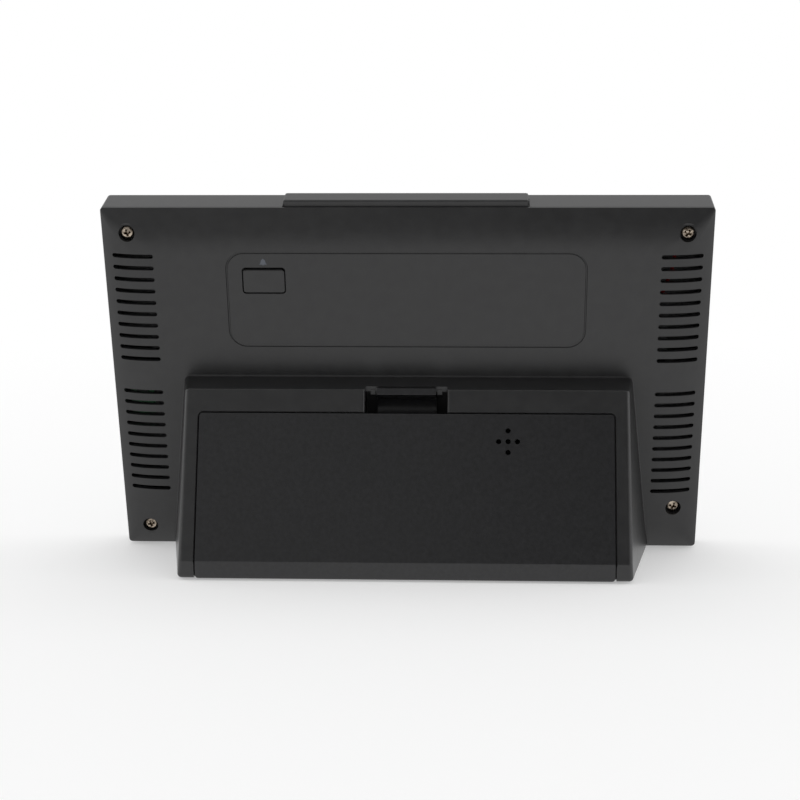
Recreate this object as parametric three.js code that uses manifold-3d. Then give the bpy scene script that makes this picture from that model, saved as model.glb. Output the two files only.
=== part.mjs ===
// Digital weather clock: a wide display panel that leans back on a battery stand.
// Millimetres, +Z up. The display faces -Y, the back faces +Y and X runs across the panel.

import * as THREE from "three";
import { mergeVertices } from "three/addons/utils/BufferGeometryUtils.js";
import Module from "manifold-3d";

const wasm = await Module();
wasm.setup();

// Driving sizes of the panel housing
const panelWidth = 220;
const panelHeight = 137.2;
const rimDepth = 14.6;
const leanDegrees = 15.8;
const caseWall = 2;
const topCornerRadius = 1.2;
const bottomCornerRadius = 1.4;
const swellRise = 4;
const swellBorder = 17;
const coverEdge = 0.6;
const coverLipDepth = 1.8;
const coverLipWall = 1.2;

// Driving sizes of the stand, measured level from the bottom back edge of the panel.
// A size that ends in Margin here and below is kept to an edge or a part named before it.
const creaseReach = 55.5;
const creaseHeight = 6.4;
const bandLean = 0.1;
const ledgeReach = 34.7;
const ledgeHeight = 65.9;
const standMargin = 28.1;
const standFlare = 0.183;
const standTaper = 0.07;
const standEdgeRadius = 1.1;
const standFootRadius = 1.2;
const standFoldRadius = 1.8;
const standBrowRadius = 1.2;
const standFloor = 2;
const standSideWall = 2.2;
const blendReach = 3;
const blendSunk = 0.8;
const blendCorner = 1.5;
const blendTuck = 0.4;
const sideBlendReach = 1.2;

// Driving sizes of the battery door and its latch
const doorMargin = 6.5;
const doorWall = 1.8;
const doorTopMargin = 8.83;
const doorDrop = 0.1;
const doorBandEdge = 0.8;
const doorFoldEdge = 0.4;
const doorFoldShare = 0.3;
const doorLedge = 3;
const doorLedgeWall = 2.1;
const doorTabCount = 3;
const doorTabPitch = 48;
const doorTabHalf = 6;
const doorTabLength = 3.8;
const doorTabThick = 1.6;
const latchPocketHalf = 15;
const latchPocketStep = 2.8;
const latchPocketDeep = 9.2;
const latchPocketWall = 1.4;
const latchPocketFall = 2.4;
const latchHalf = 10.9;
const latchStrip = 1.3;
const latchDepth = 8;
const latchThroat = 7;
const latchBarHeight = 2.4;
const latchBarThick = 2;

// Driving sizes of the vents, the label frame and the alarm key
const slotLength = 15.1;
const slotHeight = 1.8;
const slotSideMargin = 11.1;
const slotTopMargin = 17.3;
const slotBottom = 25.82;
const slotsPerGroup = 10;
const slotGroupGap = 2;
const labelSideMargin = 44.8;
const labelBottom = 85.1;
const labelTopMargin = 15.8;
const labelRadius = 5.8;
const labelGroove = 0.5;
const labelGrooveDepth = 0.35;
const alarmSideMargin = 13.7;
const alarmTopMargin = 11.1;
const alarmWidth = 15;
const alarmTall = 9;
const alarmTopGap = 0.85;
const alarmRadius = 1;
const alarmTravel = 0.8;
const alarmFlange = 1.8;
const alarmFlangeThick = 1;
const alarmStemRadius = 2;

// Driving sizes of the snooze bar
const snoozeHalf = 43.9;
const snoozeBack = 1;
const snoozeDeep = 8.55;
const snoozeCap = 1.5;
const snoozeLift = 0.95;
const snoozeTravel = 0.8;
const snoozeInset = 1.2;
const snoozeHook = 1.5;
const snoozeEdge = 0.4;
const snoozeUnderEdge = 0.1;
const snoozeWebWall = 1.4;
const presserHalf = 4;

// Driving sizes of the front: window, lens, display and keys
const frontPlate = 2.2;
const frontEdge = 0.8;
const windowSideMargin = 19;
const windowBottom = 27;
const windowTopMargin = 13.7;
const windowRadius = 2;
const lensBorder = 2.5;
const lensThick = 1.2;
const displaySideLap = 3;
const displayBottomLap = 5;
const displayTopLap = 3.5;
const displayThick = 2.2;
const guideThick = 3;
const guideInset = 1;
const ledStripThick = 1.4;
const connectorRoom = 4;
const connectorTall = 2.8;
const connectorEnd = 11;
const holderWall = 1.6;
const holderPlate = 1;
const holderLap = 4;
const keyCount = 4;
const keyPitch = 30;
const keyHeight = 12.5;
const keyWidth = 14;
const keyTall = 6;
const keyRadius = 1;
const keyProud = 0.8;
const keyTravel = 0.5;
const keyFlange = 1;
const keyDomeRadius = 2;
const keyDomeTall = 0.6;
const keyBoardThick = 1.2;

// Driving sizes of the boards and of the larger parts on them
const boardSideMargin = 24;
const boardBottom = 13.5;
const boardTopMargin = 9.2;
const boardThick = 1.6;
const boardPostMargin = 14;
const boardPostRadius = 2.5;
const earHalf = 4;
const earTrim = 1.5;
const chipHalf = 12;
const chipUp = 72;
const chipThick = 1.6;
const crystalX = 28;
const crystalUp = 70;
const crystalHalf = 5;
const crystalThick = 1.4;
const plugHalf = 2.5;
const plugThick = 2.4;
const powerPlugMargin = 5.5;
const powerPlugDrop = 16;
const buzzerPlugX = -24;
const buzzerPlugUp = 54;
const radioMargin = 34;
const radioDrop = 30;
const radioHalf = 11;
const radioHalfTall = 8;
const radioThick = 1;
const radioCanHalf = 5;
const radioCanThick = 1.6;
const sensorUp = 62;
const sensorBack = -4;
const sensorHalf = 4.5;
const sensorHalfTall = 8;
const sensorBead = 2;
const sensorBeadThick = 1.6;
const sensorRibHalf = 2.5;
const switchHalf = 3;
const snoozeSwitchDeep = 2.6;
const plungerHalf = 1.2;
const plungerDeep = 1.6;
const plungerTall = 1.2;
const alarmPlungerRadius = 1.6;
const alarmPlungerTall = 0.5;

// Driving sizes of the screws
const caseScrewMargin = 9.55;
const caseScrewTopMargin = 8.6;
const caseScrewLowLeft = 18.45;
const caseScrewLowRight = 9.05;
const caseHeadRadius = 2.5;
const caseHeadHeight = 1.7;
const caseShankRadius = 1.3;
const caseShankLength = 9;
const caseHoleRadius = 2.95;
const caseSeatDepth = 0.2;
const bossRadius = 3.8;
const boardHeadRadius = 1.9;
const boardHeadHeight = 1.3;
const boardShankRadius = 1;
const boardShankLength = 7;
const keyShankLength = 3.1;

// Driving sizes of the batteries, their tray, the buzzer and the feet
const cellRadius = 7.1;
const cellLength = 50.5;
const cellNubRadius = 2.7;
const cellNubHeight = 1.2;
const cellEdge = 0.7;
const cellProud = 1.2;
const cellRows = 2;
const cellsPerRow = 2;
const trayWall = 1.6;
const trayFlangeLap = 1.9;
const trayFlange = 2;
const trayStart = 3.4;
const rowRib = 0.4;
const contactThick = 0.5;
const contactHalf = 5;
const springLength = 4;
const springRadius = 3.6;
const dimpleTall = 0.6;
const dimpleRadius = 2.4;
const coneSunk = 0.2;
const buzzerX = -36.9;
const buzzerUp = 44.1;
const buzzerRadius = 6.8;
const buzzerTall = 5;
const buzzerPort = 1;
const buzzerHoleRadius = 0.95;
const buzzerHolePitch = 3.9;
const soundHoleRadius = 5.9;
const collarWall = 1;
const collarDeep = 2;
const footRadius = 4.5;
const footProud = 0.8;
const footSunk = 0.7;
const footMargin = 13.4;
const footFront = 8;
const footBack = 44;

// Driving sizes of the wires: their lane runs up beside the main board, and the red one ends
// in a loop behind the upper vents
const wireRadius = 0.7;
const wireEnd = 2.2;
const wireStub = 0.6;
const wireBend = 5;
const wireSweep = 14;
const wireSpread = 2;
const wireDeep = -1.2;
const wireLaneMargin = 2.5;
const wireLaneSpread = 1;
const wireLaneTurn = 34;
const wireLaneLow = 46;
const wireLaneDrop = 14;
const wireLoopNear = 7.5;
const wireLoopFar = 10.6;
const wireLoopLow = 5.5;
const wireLoopHigh = 7.9;
const wireLoopTop = 12.5;

// Clearances
const seat = 0.3;
const slip = 0.35;
const seam = 0.15;
const touch = 0.1;

// How far a cutter runs past a face, and how far a joined piece runs into its neighbour
const past = 1;
const wellPast = 25;
const into = 0.5;

// Shares of a radius or a height that shape the small turned parts
const tipShare = 0.5;
const headRimShare = 0.45;
const headShoulderShare = 0.82;
const headCrownShare = 0.4;
const crossReachShare = 0.62;
const crossWideShare = 0.15;
const crossFloorShare = 0.4;
const coneShare = 0.62;
const rowRibShare = 0.45;
const wirePairShare = 1.6;

// Counts of facets, the least corner radius and the least length of a straight edge
const roundSides = 16;
const smallSides = 12;
const holeSides = 8;
const wireSides = 4;
const cornerSteps = 3;
const swellSteps = 4;
const hollowFirstStep = 2;
const blendSteps = 4;
const slotSteps = 2;
const standSteps = 2;
const snoozeSteps = 2;
const labelSteps = 4;
const latchBendSteps = 8;
const powerWireSteps = 40;
const buzzerWireSteps = 12;
const smallestRadius = 0.3;
const sliver = 0.01;
const mergeDistance = 1e-4;

const lean = THREE.MathUtils.degToRad(leanDegrees);
const crease = new THREE.Vector2(creaseReach, creaseHeight);
const ledge = new THREE.Vector2(ledgeReach, ledgeHeight);
const slopeAngle = Math.atan2(crease.x - ledge.x, ledge.y - crease.y);

// Depths in the panel frame, in the order in which the parts stack behind the face
const faceOut = -rimDepth;
const plateBack = faceOut + frontPlate;
const lensFront = faceOut + touch;
const lensBack = lensFront + lensThick;
const displayFront = plateBack + seat;
const displayBack = displayFront + displayThick;
const guideFront = displayBack + seat;
const guideBack = guideFront + guideThick;
const holderBack = guideBack + seat + holderPlate;
const holderLug = guideBack + seat - holderPlate;
const boardFront = holderBack + seat;
const boardBack = boardFront + boardThick;
const keyFlangeBack = plateBack + seat + keyFlange;
const keyBoardFront = keyFlangeBack + keyTravel + touch + keyDomeTall;
const keyBoardBack = keyBoardFront + keyBoardThick;
const rimBack = -coverEdge - seam;
const lipFront = -coverEdge - coverLipDepth;
const bossFace = lipFront - seat;

// Places across and up the panel that follow from its edges and from each other
const halfWidth = panelWidth / 2;
const standFootHalf = halfWidth - standMargin;
const doorHalf = standFootHalf - doorMargin;
const trayFlangeHalf = doorHalf + trayFlangeLap;
const footX = standFootHalf - footMargin;
const slotCentre = halfWidth - slotSideMargin;
const slotTop = panelHeight - slotTopMargin;
const slotPitch = (slotTop - slotBottom) / (2 * slotsPerGroup + slotGroupGap - 1);
const labelHalf = halfWidth - labelSideMargin;
const labelTop = panelHeight - labelTopMargin;
const alarmX = labelHalf - alarmSideMargin;
const alarmHeight = labelTop - alarmTopMargin;
const alarmReach = alarmTall / 2 + alarmFlange;
const alarmFlangeOut = swellAt(panelHeight - alarmHeight - alarmReach) - caseWall - seat;
const alarmStemEnd = alarmFlangeOut - alarmFlangeThick - seat;
const windowHalf = halfWidth - windowSideMargin;
const windowTop = panelHeight - windowTopMargin;
const displayHalf = windowHalf + displaySideLap;
const displayBottom = windowBottom - displayBottomLap;
const displayTop = windowTop + displayTopLap;
const boardHalf = halfWidth - boardSideMargin;
const boardTop = panelHeight - boardTopMargin;
const boardPostX = boardHalf - boardPostMargin;
const powerPlugX = powerPlugMargin - boardHalf;
const powerPlugUp = boardTop - powerPlugDrop;
const radioX = radioMargin - boardHalf;
const radioUp = boardTop - radioDrop;
const caseScrewX = halfWidth - caseScrewMargin;
const caseScrewTop = panelHeight - caseScrewTopMargin;
const wireLane = -boardHalf - wireLaneMargin;
const wireLaneHigh = powerPlugUp - wireLaneDrop;
const boardPostTop = displayTop + 2 * seat + holderWall + boardPostRadius;
const boardPostBottom = displayBottom - 2 * seat - holderWall - boardPostRadius;
const sensorX = displayHalf + 2 * seat + holderWall + sensorHalf;
const hookTop = panelHeight - caseWall - seat;
const hookBottom = hookTop - snoozeHook;

// Places in the slope frame: the tray's flange, its floor, the two rows and the latch
const flangeFront = -doorWall - doorLedgeWall - 2 * seat;
const flangeBack = flangeFront - trayFlange;
const cellOut = flangeFront - cellRadius + cellProud;
const trayFloor = cellOut - cellRadius - seat;
const rowPitch = 2 * cellRadius + 2 * seat + rowRib;
const troughLow = trayStart + trayWall;
const firstRow = troughLow + seat + cellRadius;
const troughHigh = firstRow + (cellRows - 1) * rowPitch + cellRadius + seat;
const trayEnd = troughHigh + trayWall;
const contactGaps = 2 * seat + (cellsPerRow + 1) * touch;
const rowLength = cellsPerRow * cellLength + springLength + dimpleTall + 2 * contactThick + contactGaps;
const rowHalf = rowLength / 2;
const trayHalf = rowHalf + trayWall;
const doorTop = crease.distanceTo(ledge) - doorTopMargin;
const latchLegUp = doorTop + latchThroat;
const trayFlangeTop = doorTop - doorLedge + seam;

// The panel frame has X across, Y out of the back and Z up the panel.
// The slope frame has X across, Y out of the stand's slope and Z up the slope, from the crease.
const panelFrame = new THREE.Matrix4().makeRotationX(-lean);
const slopeFrame = new THREE.Matrix4().makeRotationX(slopeAngle);
slopeFrame.setPosition(0, crease.x, crease.y);
const levelToPanel = panelFrame.clone().invert();
const slopeToPanel = levelToPanel.clone().multiply(slopeFrame);
const levelToSlope = slopeFrame.clone().invert();

// A point given by its outward and upward place in one frame, as the same pair in another
function pairIn(matrix, out, up) {
  const point = new THREE.Vector3(0, out, up).applyMatrix4(matrix);
  return [point.y, point.z];
}

function solid(geometry, matrix) {
  const plain = geometry.clone();
  plain.deleteAttribute("normal");
  plain.deleteAttribute("uv");
  if (matrix) {
    plain.applyMatrix4(matrix);
  }
  const merged = mergeVertices(plain, mergeDistance);
  const vertProperties = new Float32Array(merged.attributes.position.array);
  const triVerts = new Uint32Array(merged.index.array);
  return new wasm.Manifold(new wasm.Mesh({ numProp: 3, vertProperties, triVerts }));
}

function geometryOf(body) {
  const mesh = body.getMesh();
  const geometry = new THREE.BufferGeometry();
  geometry.setAttribute("position", new THREE.BufferAttribute(mesh.vertProperties, 3));
  geometry.setIndex(new THREE.BufferAttribute(mesh.triVerts, 1));
  geometry.computeVertexNormals();
  return geometry;
}

function joined(bodies) {
  return bodies.reduce((whole, body) => whole.add(body));
}

function block(low, high, matrix) {
  const size = high.map((value, axis) => value - low[axis]);
  const geometry = new THREE.BoxGeometry(...size);
  geometry.translate(...low.map((value, axis) => value + size[axis] / 2));
  return solid(geometry, matrix);
}

// A round post or hole that runs along Y
function post(x, z, radius, from, to, sides = roundSides, matrix = null) {
  const geometry = new THREE.CylinderGeometry(radius, radius, to - from, sides);
  geometry.translate(x, (from + to) / 2, z);
  return solid(geometry, matrix);
}

// An outline of [x, z] points made solid between two places along Y
function slab(outline, from, to) {
  const shape = new THREE.Shape(outline.map(([x, z]) => new THREE.Vector2(x, z)));
  const geometry = new THREE.ExtrudeGeometry(shape, { depth: to - from, bevelEnabled: false });
  geometry.rotateX(Math.PI / 2);
  geometry.translate(0, to, 0);
  return solid(geometry);
}

// A side outline of [y, z] points made solid between two places along X
function bar(outline, from, to, matrix) {
  const shape = new THREE.Shape(outline.map(([y, z]) => new THREE.Vector2(y, z)));
  const geometry = new THREE.ExtrudeGeometry(shape, { depth: to - from, bevelEnabled: false });
  geometry.applyMatrix4(new THREE.Matrix4().set(0, 0, 1, 0, 1, 0, 0, 0, 0, 1, 0, 0, 0, 0, 0, 1));
  geometry.translate(from, 0, 0);
  return solid(geometry, matrix);
}

// A closed skin over rings of points that all have the same count, with flat convex ends
function loft(rings) {
  const count = rings[0].length;
  const positions = rings.flat(2);
  const index = [];
  for (let r = 0; r + 1 < rings.length; r += 1) {
    for (let i = 0; i < count; i += 1) {
      const a = r * count + i;
      const b = r * count + ((i + 1) % count);
      index.push(a, b, b + count, a, b + count, a + count);
    }
  }
  const last = (rings.length - 1) * count;
  for (let i = 1; i + 1 < count; i += 1) {
    index.push(0, i + 1, i, last, last + i, last + i + 1);
  }
  const geometry = new THREE.BufferGeometry();
  geometry.setAttribute("position", new THREE.BufferAttribute(new Float32Array(positions), 3));
  geometry.setIndex(index);
  return geometry;
}

// Counter-clockwise corners with an arc in place of each one
function rounded(corners, radii, steps = cornerSteps) {
  const outline = [];
  corners.forEach((corner, i) => {
    const before = corners[(i + corners.length - 1) % corners.length];
    const after = corners[(i + 1) % corners.length];
    const here = new THREE.Vector2(...corner);
    const back = new THREE.Vector2(...before).sub(here).normalize();
    const ahead = new THREE.Vector2(...after).sub(here).normalize();
    const half = Math.acos(THREE.MathUtils.clamp(back.dot(ahead), -1, 1)) / 2;
    const radius = radii[i];
    const centre = back.clone().add(ahead).normalize().multiplyScalar(radius / Math.sin(half)).add(here);
    const start = back.clone().multiplyScalar(radius / Math.tan(half)).add(here).sub(centre);
    const turn = Math.PI - 2 * half;
    for (let k = 0; k <= steps; k += 1) {
      const arm = start.clone().rotateAround(new THREE.Vector2(), (turn * k) / steps);
      outline.push([centre.x + arm.x, centre.y + arm.y]);
    }
  });
  return outline;
}

function roundedBox(halfWidth, bottom, top, radius, centre = 0, steps = cornerSteps) {
  const corners = [
    [centre - halfWidth, bottom],
    [centre + halfWidth, bottom],
    [centre + halfWidth, top],
    [centre - halfWidth, top],
  ];
  return rounded(corners, corners.map(() => radius), steps);
}

// The corners of a convex counter-clockwise outline after each side moves in by its own inset
function movedIn(corners, insets) {
  const lines = corners.map((corner, i) => {
    const next = corners[(i + 1) % corners.length];
    const along = new THREE.Vector2(next[0] - corner[0], next[1] - corner[1]).normalize();
    const inward = new THREE.Vector2(-along.y, along.x);
    return { base: new THREE.Vector2(...corner).addScaledVector(inward, insets[i]), along };
  });
  return corners.map((corner, i) => {
    const first = lines[(i + lines.length - 1) % lines.length];
    const second = lines[i];
    const gap = second.base.clone().sub(first.base);
    const travel = gap.cross(second.along) / first.along.cross(second.along);
    const meet = first.base.clone().addScaledVector(first.along, travel);
    return [meet.x, meet.y];
  });
}

// The outline of the panel, moved in from its edge
function panelOutline(inset) {
  const bottom = Math.max(bottomCornerRadius - inset, smallestRadius);
  const top = Math.max(topCornerRadius - inset, smallestRadius);
  const corners = [
    [inset - halfWidth, inset],
    [halfWidth - inset, inset],
    [halfWidth - inset, panelHeight - inset],
    [inset - halfWidth, panelHeight - inset],
  ];
  return rounded(corners, [bottom, bottom, top, top]);
}

function panelRing(inset, out) {
  return panelOutline(inset).map(([x, z]) => [x, out, z]).reverse();
}

function swellAt(inset) {
  const share = Math.min(inset / swellBorder, 1);
  return swellRise * (1 - (1 - share) ** 2);
}

// The stand's half-width, at a place given level from the bottom back edge of the panel
function standHalfAt(reach, height) {
  return standFootHalf + standFlare * (creaseReach - reach) - standTaper * height;
}

// The stand's side view in the panel frame, from the panel's bottom edge round the back
function standCorners(front) {
  const foot = pairIn(levelToPanel, creaseReach - bandLean, 0);
  const fold = pairIn(levelToPanel, creaseReach, creaseHeight);
  const brow = pairIn(levelToPanel, ledgeReach, ledgeHeight);
  return [[front, front * Math.tan(lean)], foot, fold, brow, [front, brow[1]]];
}

function standRing(corners, radii, side, trim) {
  return rounded(corners, radii, standSteps).map(([out, up]) => {
    const [reach, height] = pairIn(panelFrame, out, up);
    return [side * (standHalfAt(reach, height) - trim), out, up];
  });
}

// The stand's outside, with a round edge all along each side
function standShell() {
  const edgeRadii = [smallestRadius, standFootRadius, standFoldRadius, standBrowRadius, smallestRadius];
  const half = [];
  for (let k = 0; k <= cornerSteps; k += 1) {
    const turn = (k / cornerSteps) * (Math.PI / 2);
    const inset = standEdgeRadius * (1 - Math.sin(turn));
    const trim = standEdgeRadius * (1 - Math.cos(turn));
    const corners = movedIn(standCorners(0), [inset, inset, inset, inset, 0]);
    const radii = edgeRadii.map((radius) => Math.max(radius - inset, smallestRadius));
    half.push({ corners, radii, trim });
  }
  const left = half.map((ring) => standRing(ring.corners, ring.radii, -1, ring.trim));
  const right = half.map((ring) => standRing(ring.corners, ring.radii, 1, ring.trim));
  return solid(loft([...left, ...right.reverse()]));
}

function standHollow() {
  const slopeWall = doorWall + seat + doorLedgeWall;
  const corners = movedIn(standCorners(lipFront - past), [standFloor, slopeWall, slopeWall, caseWall, 0]);
  const radii = corners.map(() => smallestRadius);
  const left = standRing(corners, radii, -1, standSideWall);
  const right = standRing(corners, radii, 1, standSideWall);
  return solid(loft([left, right]));
}

// The soft corner between the panel's back and the stand, in steps out from the back
function standBlend() {
  const top = standCorners(0)[3][1];
  const rings = [];
  for (let k = 0; k <= blendSteps; k += 1) {
    const turn = (k / blendSteps) * (Math.PI / 2);
    const out = swellRise - blendSunk + blendReach * (1 - Math.cos(turn));
    const spread = blendReach * (1 - Math.sin(turn));
    const side = sideBlendReach * (1 - Math.sin(turn));
    const halfAt = (up) => standHalfAt(...pairIn(panelFrame, out, up)) + side - blendTuck;
    const outline = rounded(
      [
        [-halfAt(0), 0],
        [halfAt(0), 0],
        [halfAt(top), top + spread],
        [-halfAt(top), top + spread],
      ],
      [smallestRadius, smallestRadius, blendCorner + side, blendCorner + side],
    );
    rings.push(outline.map(([x, z]) => [x, out, z]).reverse());
  }
  const open = rings[0].map(([x, , z]) => [x, 0, z]);
  return solid(loft([open, ...rings]));
}

// A bar with round ends that cuts one vent slot, from inside to outside
function slotCutter(x, z) {
  const half = slotHeight / 2;
  const outline = roundedBox(slotLength / 2, z - half, z + half, half - sliver, x, slotSteps);
  return slab(outline, -2 * caseWall, swellRise + past);
}

function slotHeights() {
  const rows = [];
  for (let row = 0; row < slotsPerGroup; row += 1) {
    rows.push(slotTop - row * slotPitch);
    rows.push(slotTop - (row + slotsPerGroup + slotGroupGap) * slotPitch);
  }
  return rows;
}

function caseScrewPlaces() {
  return [
    { name: "case_screw_top_left", x: -caseScrewX, z: caseScrewTop },
    { name: "case_screw_top_right", x: caseScrewX, z: caseScrewTop },
    { name: "case_screw_bottom_left", x: -caseScrewX, z: caseScrewLowLeft },
    { name: "case_screw_bottom_right", x: caseScrewX, z: caseScrewLowRight },
  ];
}

function boardScrewPlaces() {
  return [
    { name: "board_screw_top_left", x: -boardPostX, z: boardPostTop },
    { name: "board_screw_top_right", x: boardPostX, z: boardPostTop },
    { name: "board_screw_bottom_left", x: -boardPostX, z: boardPostBottom },
    { name: "board_screw_bottom_right", x: boardPostX, z: boardPostBottom },
  ];
}

const footPlaces = [
  { name: "foot_front_left", x: -footX, y: footFront },
  { name: "foot_front_right", x: footX, y: footFront },
  { name: "foot_back_left", x: -footX, y: footBack },
  { name: "foot_back_right", x: footX, y: footBack },
];

// Back cover: the swelling back, the stand, the vents, the door opening and the screw bosses
function rearCover() {
  const rings = [panelRing(0, -coverEdge)];
  for (let k = 0; k <= swellSteps; k += 1) {
    const inset = (swellBorder * k) / swellSteps;
    rings.push(panelRing(inset, swellAt(inset)));
  }
  const lipInset = caseWall + seat;
  const lip = solid(loft([panelRing(lipInset, lipFront), panelRing(lipInset, 0)]));
  const outside = joined([solid(loft(rings)), lip, standShell(), standBlend()]);

  const hollowStart = lipInset + coverLipWall;
  const hollowRings = [panelRing(hollowStart, lipFront - past), panelRing(hollowStart, -coverEdge / 2)];
  for (let k = hollowFirstStep; k <= swellSteps; k += 1) {
    const inset = (swellBorder * k) / swellSteps;
    hollowRings.push(panelRing(inset, swellAt(inset) - caseWall));
  }
  const inside = joined([solid(loft(hollowRings)), standHollow()]);
  const bosses = caseScrewPlaces().map(({ x, z }) => {
    const crown = swellAt(halfWidth - Math.abs(x)) - caseWall / 2;
    return post(x, z, bossRadius, bossFace + seat, crown);
  });
  let cover = joined([outside.subtract(inside), pocketWalls(), ...bosses]);

  const tools = [labelCutter(), alarmCutter(), ...doorCutters(), snoozeClearance()];
  caseScrewPlaces().forEach(({ x, z }) => {
    tools.push(post(x, z, caseHoleRadius, caseSeatDepth, swellRise + past));
    tools.push(post(x, z, caseShankRadius + slip / 2, bossFace - past, caseSeatDepth + past, smallSides));
  });
  [-1, 1].forEach((side) => {
    slotHeights().forEach((z) => tools.push(slotCutter(side * slotCentre, z)));
  });
  footPlaces.forEach(({ x, y }) => tools.push(footPad(x, y, footSunk, seam, levelToPanel)));
  tools.push(block([-panelWidth, -rimDepth, -panelHeight], [panelWidth, panelHeight, 0], levelToPanel));
  tools.forEach((tool) => {
    cover = cover.subtract(tool);
  });
  return cover;
}

// The thin groove that frames the place for a label
function labelCutter() {
  const reach = labelGroove / 2;
  const floor = swellRise - labelGrooveDepth;
  const outline = (grow) =>
    roundedBox(labelHalf + grow, labelBottom - grow, labelTop + grow, labelRadius + grow, 0, labelSteps);
  const outer = slab(outline(reach), floor, swellRise + past);
  return outer.subtract(slab(outline(-reach), floor - past, swellRise + 2 * past));
}

// The hole for the alarm key, which sits low in it
function alarmCutter() {
  const outline = roundedBox(
    alarmWidth / 2 + slip,
    alarmHeight - alarmTall / 2 - slip,
    alarmHeight + alarmTall / 2 + alarmTopGap,
    alarmRadius + slip,
    alarmX,
  );
  return slab(outline, -caseWall, swellRise + past);
}

// Room in the cover's lip for the snooze bar's web
function snoozeClearance() {
  const half = snoozeHalf + snoozeHook + slip;
  const low = [-half, -2 * rimDepth, panelHeight - 3 * caseWall - snoozeHook];
  return block(low, [half, -coverEdge, panelHeight]);
}

// The opening for the door, its ledge, and the pocket for a finger above it
function doorCutters() {
  const half = doorHalf + slip;
  const bottom = creaseReach - doorWall - doorTabLength / 2;
  const rebate = doorWall + seat;
  const ledgeBack = rebate + doorLedgeWall + past;
  const openTop = doorTop - doorLedge;
  const toLevel = (out, up) => pairIn(slopeFrame, out, up);
  const rebateSide = [
    toLevel(wellPast, doorTop + slip),
    toLevel(-rebate, doorTop + slip),
    [creaseReach - rebate - bandLean, creaseHeight],
    [creaseReach - rebate - bandLean, standFloor],
    [bottom, standFloor],
    [bottom, -past],
    [creaseReach + wellPast, -past],
  ];
  const openSide = [
    toLevel(wellPast, openTop),
    toLevel(-ledgeBack, openTop),
    [creaseReach - ledgeBack, standFloor],
    [creaseReach + wellPast, standFloor],
  ];
  const [browOut, browUp] = standCorners(0)[3];
  const [lowOut, lowUp] = pairIn(slopeToPanel, -ledgeBack, openTop - into);
  const pocketSide = [
    [lowOut, lowUp],
    [browOut + wellPast, lowUp],
    [browOut + wellPast, browUp + past],
    [browOut - latchPocketStep, browUp + past],
    [browOut - latchPocketStep, browUp - caseWall],
    [browOut - latchPocketDeep, browUp - caseWall],
    [browOut - latchPocketDeep, lowUp - latchPocketFall],
  ];
  return [
    bar(rebateSide, -half, half, levelToPanel),
    bar(openSide, doorLedge - half, half - doorLedge, levelToPanel),
    bar(pocketSide, -latchPocketHalf, latchPocketHalf),
  ];
}

// The closed walls behind and beside the latch, inside the stand
function pocketWalls() {
  const [browOut, browUp] = standCorners(0)[3];
  const back = browOut - latchPocketDeep - latchPocketWall;
  const flangeGap = trayFlangeTop + seat;
  const [low, lowUp] = pairIn(slopeToPanel, flangeBack - seat, trayFlangeTop - latchPocketWall);
  const outerSide = [
    [back, lowUp - latchPocketFall],
    [low, lowUp],
    pairIn(slopeToPanel, flangeBack - seat, flangeGap),
    pairIn(slopeToPanel, -doorWall - 2 * seat, flangeGap),
    [browOut - latchPocketStep, browUp - into],
    [back, browUp - into],
  ];
  const half = latchPocketHalf + latchPocketWall;
  return bar(outerSide, -half, half);
}

// Front housing: the rim, the front plate with its window, and the posts that carry the inside
function frontBezel() {
  const outside = solid(
    loft([panelRing(frontEdge, faceOut), panelRing(0, faceOut + frontEdge), panelRing(0, rimBack)]),
  );
  const hollow = solid(loft([panelRing(caseWall, plateBack), panelRing(caseWall, past)]));
  const root = plateBack - past;
  const posts = caseScrewPlaces().map(({ x, z }) => post(x, z, bossRadius, root, bossFace));
  boardScrewPlaces().forEach(({ x, z }) => {
    posts.push(post(x, z, boardPostRadius, root, holderLug - seat, smallSides));
  });
  keyPostPlaces().forEach((x) => {
    posts.push(post(x, keyHeight, boardPostRadius, root, keyBoardFront - seat, smallSides));
  });
  const ribLow = [sensorX - sensorRibHalf, root, sensorUp - sensorRibHalf];
  const ribHigh = [sensorX + sensorRibHalf, sensorBack - boardThick - seat, sensorUp + sensorRibHalf];
  posts.push(block(ribLow, ribHigh));
  let bezel = joined([outside.subtract(hollow), ...posts]);
  bezelCutters().forEach((tool) => {
    bezel = bezel.subtract(tool);
  });
  return bezel;
}

// The window with its rebate, the screw holes, the key holes and the slot for the snooze bar
function bezelCutters() {
  const window = roundedBox(windowHalf, windowBottom, windowTop, windowRadius);
  const rebate = roundedBox(
    windowHalf + lensBorder + slip,
    windowBottom - lensBorder - slip,
    windowTop + lensBorder + slip,
    windowRadius + lensBorder,
  );
  const windowHole = slab(window, faceOut - past, plateBack + past);
  const tools = [windowHole, slab(rebate, faceOut - past, lensBack + seat)];
  const holeStart = plateBack + into;
  caseScrewPlaces().forEach(({ x, z }) => {
    tools.push(post(x, z, caseShankRadius + slip / 2, holeStart, past, smallSides));
  });
  boardScrewPlaces().forEach(({ x, z }) => {
    tools.push(post(x, z, boardShankRadius + slip / 2, holeStart, past, smallSides));
  });
  keyPostPlaces().forEach((x) => {
    tools.push(post(x, keyHeight, boardShankRadius + slip / 2, holeStart, past, smallSides));
  });
  keyPlaces().forEach((x) => tools.push(keyBody(x, slip, faceOut - past, plateBack + into)));
  const webHalf = snoozeHalf - snoozeInset + slip;
  const webBack = -snoozeBack - snoozeInset / 2 + slip;
  const webFront = -snoozeBack - snoozeDeep + snoozeInset / 2 - slip;
  const webLow = panelHeight - caseWall - past;
  tools.push(block([-webHalf, webFront, webLow], [webHalf, webBack, panelHeight + past]));
  return tools;
}

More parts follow.
